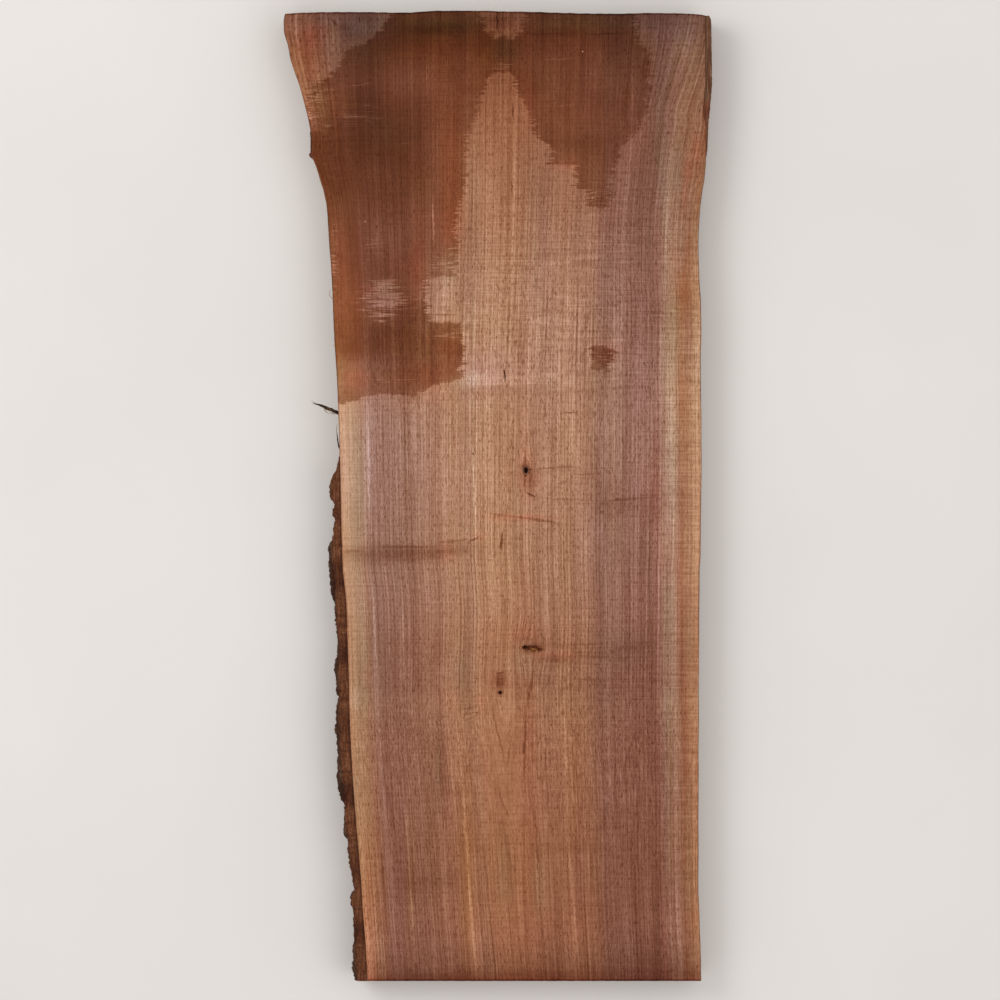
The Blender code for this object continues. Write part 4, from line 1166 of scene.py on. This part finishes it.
class WALNUT_OT_slab(bpy.types.Operator):
    """Build the plank and dress its faces, ends and natural edges"""

    bl_idname = "walnut.slab"
    bl_label = "Walnut plank"
    bl_options = {"REGISTER", "UNDO"}

    def execute(self, context):
        settings = context.scene.walnut_wood
        slab = build_slab(settings)
        finish_arris(slab, settings.arris)
        describe_grain(slab)
        dress_faces(slab)
        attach(slab, "root")
        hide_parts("slab")
        return {"FINISHED"}


def straight_curve(points, at):
    """Read straight runs through (position, value) pairs, which keeps ledges sharp."""
    position, value = np.array(points, float).T
    return np.interp(at, position, value)


def unroll(along, depth):
    """The natural edge rolled out flat, as points for the noise."""
    return np.column_stack((0 * along, along, depth))


def furrow_amount(along, depth):
    """1 at the bottom of a furrow and 0 on a ridge; neighbouring furrows weave in and out."""
    place = unroll(along, depth)
    along = along + STRAY_ALONG * noise_at(place, (9, 64, 26), 16)
    depth = depth + STRAY_DOWN * noise_at(place, (9, 32, 15), 17)
    deepest = np.zeros_like(along)
    for number in range(-1, 6):
        sway = np.sin(math.tau * along / RIDGE_WAVE + (math.pi + 0.4) * number)
        middle = (number + 0.55) * RIDGE_PITCH + RIDGE_WANDER * sway
        fading = 0.7 + 0.3 * np.sin(along / 23 + 1.7 * number)
        deepest = np.maximum(deepest, fading * np.exp(-((depth - middle) / FURROW_HALF_WIDTH) ** 2))
    return deepest


def left_bark(along, depth):
    """Ridged outer bark: its thickness, its furrows, and how far its upper end is torn back."""
    here = straight_curve(LEFT_BARK, along)
    # The ledges of broken plates run down the edge on a slant
    slanted = straight_curve(LEFT_BARK, along - 0.7 * np.maximum(depth - BARK_SHOULDER, 0))
    full = np.minimum(here, 0.3 * here + 0.7 * slanted)
    # At the sawn faces less than the full thickness is left
    sawn_share = 0.78 + 0.16 * np.sin(along / 34) * np.sin(along / 13 + 1)
    from_face = np.minimum(depth, THICKNESS - depth)
    rounding = sawn_share + (1 - sawn_share) * ease(from_face / BARK_SHOULDER)
    furrow = furrow_amount(along, depth)
    place = unroll(along, depth)
    plates = 1.3 * noise_at(place, (9, 26, 8), 5) + 0.8 * noise_at(place, (4, 7, 4), 6)
    crumbs = 0.5 * noise_at(place, (2, 2.6, 2), 7)
    crumbs += 1.1 * noise_at(unroll(along, 0 * depth), (9, 3.4, 9), 14)
    crumbs += 0.5 * np.tanh(4 * noise_at(place, (9, 2.3, 5), 15))
    free = 0.6 + 0.4 * ease(from_face / 4)
    thick = full * (rounding - FURROW_SHARE * furrow * ease((full - 2) / 6))
    thick += (plates + crumbs) * free * ease((full - 1) / 5)
    # Short cracks break up the ridges
    cracked = np.exp(-(noise_at(place, (9, 14, 22), 18) / 0.06) ** 2) * free
    thick -= CRACK_DEPTH * cracked * ease((full - 2) / 6)
    # The upper end is torn back in scallops, and further the deeper down
    tear = ease((along + 30) / 80) * (7 * (1 - np.cos(depth / 6.5)) + 0.25 * depth)
    return np.maximum(thick, 0.7), np.maximum(furrow, 0.6 * cracked), tear


def right_bark(along, depth):
    """Smooth inner bark with shallow grooves along its fibres; its lower end is torn to strips."""
    groove = 0.5 + 0.5 * np.sin(depth / 2.4 + 1.3 * np.sin(along / 30))
    place = unroll(along, depth)
    fibres = noise_at(place, (9, 30, 1.6), 8)
    crumbs = noise_at(place, (3, 3.4, 3), 9)
    full = straight_curve(RIGHT_BARK, along + 2.5 * noise_at(place, (9, 9, 5), 10))
    thick = full * (1 - 0.16 * groove) + (0.35 * fibres + 0.45 * crumbs) * ease((full - 1) / 3)
    near_end = 1 - ease((along - 437) / 34)
    tear = near_end * (8 * (1 - np.cos(depth / 5.2)) + 7 * noise_at(place, (9, 60, 1.5), 11))
    return np.maximum(thick, 0.35), groove, tear


def chip_bark(along, depth):
    """A film as thin as a leaf, with a slanting ragged outline and one pointed nub."""
    place = unroll(along, depth)
    film = straight_curve(CHIP_FILM, along)
    film *= (1 - 0.7 * ease((depth - 18) / 9)) * (1 + 0.5 * noise_at(place, (9, 9, 1.6), 12))
    # The nub comes to a point, and reaches further up from it than down
    up = along - NUB_PLACE[0]
    across = np.abs(up) / np.where(up > 0, 3.6, 1.7)
    down = np.abs(depth - NUB_PLACE[1]) / 4.4
    nub = NUB_HEIGHT * np.clip(1 - across, 0, 1) * np.clip(1 - down, 0, 1) ** 0.7
    outline = 5 * noise_at(place, (9, 60, 2.6), 13) * np.sign(along - 443)
    tear = 0.3 * depth * np.sin(along / 9) + 2 * np.sin(depth / 4) + outline
    return np.maximum(film, 0.1) + nub, nub / NUB_HEIGHT, tear


def build_bark(name, side, outline, deepest, cell, shape):
    """Cut a box into small cells and carry it over to the natural edge that the bark grew on."""
    low, high = outline[0][0], outline[-1][0]
    piece = add_box(name, (0, low, THICKNESS - deepest), (1, high, THICKNESS))
    with editing("EDGE"):
        for axis, cuts in ((0, 7), (1, 9), (1, round((high - low) / cell / 10)),
                           (2, round(deepest / cell))):
            subdivide_along(piece, axis, cuts)
    outward, along, height = read_points(piece).T
    depth = THICKNESS - height
    thick, groove, tear = shape(along, depth)
    along = along - tear
    reach = outward * (thick + BARK_OVERLAP) - BARK_OVERLAP
    across = live_edge(along, depth, side) + side * reach
    write_points(piece, np.column_stack((across, along, height)))
    make_active(piece)
    with editing("FACE"):
        bpy.ops.mesh.select_all(action="SELECT")
        bpy.ops.mesh.normals_make_consistent(inside=False)
    bpy.ops.object.shade_smooth_by_angle(angle=math.radians(50))
    write_attribute(piece, "outward", reach)
    write_attribute(piece, "furrow", groove)
    fresh = np.exp(-((along - 487) / 13) ** 2) + 0.4 * (thick < 3)
    write_attribute(piece, "torn", fresh)
    return piece


class WALNUT_OT_bark(bpy.types.Operator):
    """Build the remnants of bark on both natural edges"""

    bl_idname = "walnut.bark"
    bl_label = "Bark remnants"
    bl_options = {"REGISTER", "UNDO"}

    def execute(self, context):
        bark = weathered_bark()
        bast = torn_bast("walnut_inner_bark_weathered", "63402b", "6a3a24")
        film = torn_bast("walnut_inner_bark_film", "563524", "683a25")
        for node, side, outline, deepest, cell, shape, material, slot in (
                ("bark_left", -1, LEFT_BARK, THICKNESS, 1.6, left_bark, bark, "walnut_bark"),
                ("bark_right", 1, RIGHT_BARK, THICKNESS, 1.1, right_bark, bast, "walnut_bast"),
                ("bark_chip", -1, CHIP_FILM, CHIP_DEPTH, 0.8, chip_bark, film, "walnut_bast")):
            piece = build_bark("walnut_" + node, side, outline, deepest, cell, shape)
            piece.data.materials.append(material)
            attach(piece, "root")
            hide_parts(node)
        return {"FINISHED"}


def lay_strand(rod, route, half_width, flatness, seed):
    """Carry an upright rod over to a route of X, Y, Z points, thinning towards its tip."""
    x, y, z = read_points(rod).T
    share = z + 0.5
    stops = np.linspace(0, 1, len(route))
    places = np.array([[smooth_curve(list(zip(stops, line)), share + step) for line in zip(*route)]
                       for step in (-0.03, 0, 0.03)])
    heading = (places[2] - places[0]).T
    heading /= np.linalg.norm(heading, axis=1)[:, None]
    sideways = np.cross(heading, (0, 0, 1))
    sideways /= np.linalg.norm(sideways, axis=1)[:, None]
    lift = np.cross(sideways, heading)
    uneven = noise_at(np.column_stack((x, y, share * 9)), (1.6, 1.6, 1), seed)
    width = half_width * (1 - 0.65 * share**3) * (1 + 0.45 * uneven)
    shift = sideways * (x * width)[:, None] + lift * (y * width * flatness)[:, None]
    write_points(rod, places[1].T + shift)
    write_attribute(rod, "torn", np.full_like(share, STRAND_TORN))


def make_rod(name, sides, cuts):
    """An upright rod of 1 mm radius and 1 mm height, cut into short rings."""
    deselect_all()
    bpy.ops.mesh.primitive_cylinder_add(vertices=sides, radius=MM, depth=MM, location=(0, 0, 0))
    rod = bpy.context.object
    rod.name = name
    with editing("EDGE"):
        subdivide_along(rod, 2, cuts)
    return rod


class WALNUT_OT_strands(bpy.types.Operator):
    """Lay the loose strands of bast on the left edge, and the hairs that fray from them"""

    bl_idname = "walnut.strands"
    bl_label = "Loose bast"
    bl_options = {"REGISTER", "UNDO"}

    def execute(self, context):
        dried = torn_bast("walnut_bast_dried_dark", "2e1d10", "6e4a2a")
        for node, route, half_width, flatness in (
                ("bast_splinter", SPLINTER, 2.2, 0.5), ("bast_sliver", SLIVER, 0.85, 0.7)):
            rod = make_rod("walnut_" + node, 14, 40)
            lay_strand(rod, route, half_width, flatness, 21)
            bpy.ops.object.shade_smooth_by_angle(angle=math.radians(60))
            rod.data.materials.append(dried)
            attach(rod, "root")
            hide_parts(node)
        first = make_rod("walnut_bast_hairs", 5, 10)
        copies = []
        for _ in HAIRS[1:]:
            make_active(first)
            bpy.ops.object.duplicate()
            copies.append(context.object)
        for seed, (hair, route) in enumerate(zip([first] + copies, HAIRS), start=30):
            lay_strand(hair, route, 0.32, 1.0, seed)
        make_active(first)
        for hair in copies:
            hair.select_set(True)
        bpy.ops.object.join()
        bpy.ops.object.shade_smooth_by_angle(angle=math.radians(80))
        first.data.materials.append(torn_bast("walnut_bast_hairs_bleached", "8a684a", "5d4029"))
        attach(first, "root")
        return {"FINISHED"}


class WALNUT_OT_stage(bpy.types.Operator):
    """Set the slab on a pale floor under soft light, with the camera straight above it"""

    bl_idname = "walnut.stage"
    bl_label = "Floor, light and camera"
    bl_options = {"REGISTER", "UNDO"}

    def execute(self, context):
        settings = context.scene.walnut_stage
        deselect_all()
        bpy.ops.mesh.primitive_plane_add(size=12, location=(0, 0, 0))
        floor = context.object
        floor.name = "floor"
        floor.data.materials.append(pale_floor())
        world = bpy.data.worlds.new("soft studio")
        world.use_nodes = True
        sky = world.node_tree.nodes["Background"]
        sky.inputs["Color"].default_value = (1, 1, 1, 1)
        sky.inputs["Strength"].default_value = SKY_STRENGTH
        context.scene.world = world
        for name, place, size, power in LAMPS:
            light = bpy.data.lights.new(name, "AREA")
            light.size = size
            light.energy = power
            lamp = bpy.data.objects.new(name, light)
            lamp.location = place
            lamp.rotation_mode = "QUATERNION"
            lamp.rotation_quaternion = Vector(place).to_track_quat("Z", "Y")
            context.scene.collection.objects.link(lamp)
        camera_data = bpy.data.cameras.new("camera")
        camera_data.sensor_width = SENSOR_WIDTH
        camera_data.lens = SENSOR_WIDTH * settings.camera_height / settings.frame_width
        camera = bpy.data.objects.new("camera", camera_data)
        camera.location = (CAMERA_X * MM, CAMERA_Y * MM, THICKNESS * MM + settings.camera_height)
        context.scene.collection.objects.link(camera)
        context.scene.camera = camera
        context.scene.view_settings.view_transform = "Standard"
        return {"FINISHED"}


class WALNUT_PT_panel(bpy.types.Panel):
    """Lists the steps that dress the slab, and what each can be set to"""

    bl_idname = "WALNUT_PT_panel"
    bl_label = "Walnut slab"
    bl_space_type = "VIEW_3D"
    bl_region_type = "UI"
    bl_category = "Walnut slab"

    def draw(self, context):
        layout = self.layout
        steps = (
            (WALNUT_OT_slab, context.scene.walnut_wood),
            (WALNUT_OT_bark, context.scene.walnut_bark),
            (WALNUT_OT_strands, None),
            (WALNUT_OT_stage, context.scene.walnut_stage),
        )
        for step, settings in steps:
            layout.operator(step.bl_idname)
            for name in (settings.__annotations__ if settings else ()):
                layout.prop(settings, name)


CLASSES = (
    WalnutWoodSettings, WalnutBarkSettings, WalnutStageSettings, WALNUT_OT_slab, WALNUT_OT_bark,
    WALNUT_OT_strands, WALNUT_OT_stage, WALNUT_PT_panel,
)


def register():
    for item in CLASSES:
        bpy.utils.register_class(item)
    bpy.types.Scene.walnut_wood = PointerProperty(type=WalnutWoodSettings)
    bpy.types.Scene.walnut_bark = PointerProperty(type=WalnutBarkSettings)
    bpy.types.Scene.walnut_stage = PointerProperty(type=WalnutStageSettings)


def unregister():
    for name in ("walnut_wood", "walnut_bark", "walnut_stage"):
        delattr(bpy.types.Scene, name)
    for item in reversed(CLASSES):
        bpy.utils.unregister_class(item)


def main():
    register()
    bpy.ops.walnut.slab()
    bpy.ops.walnut.bark()
    bpy.ops.walnut.strands()
    bpy.ops.walnut.stage()


if __name__ == "__main__":
    main()
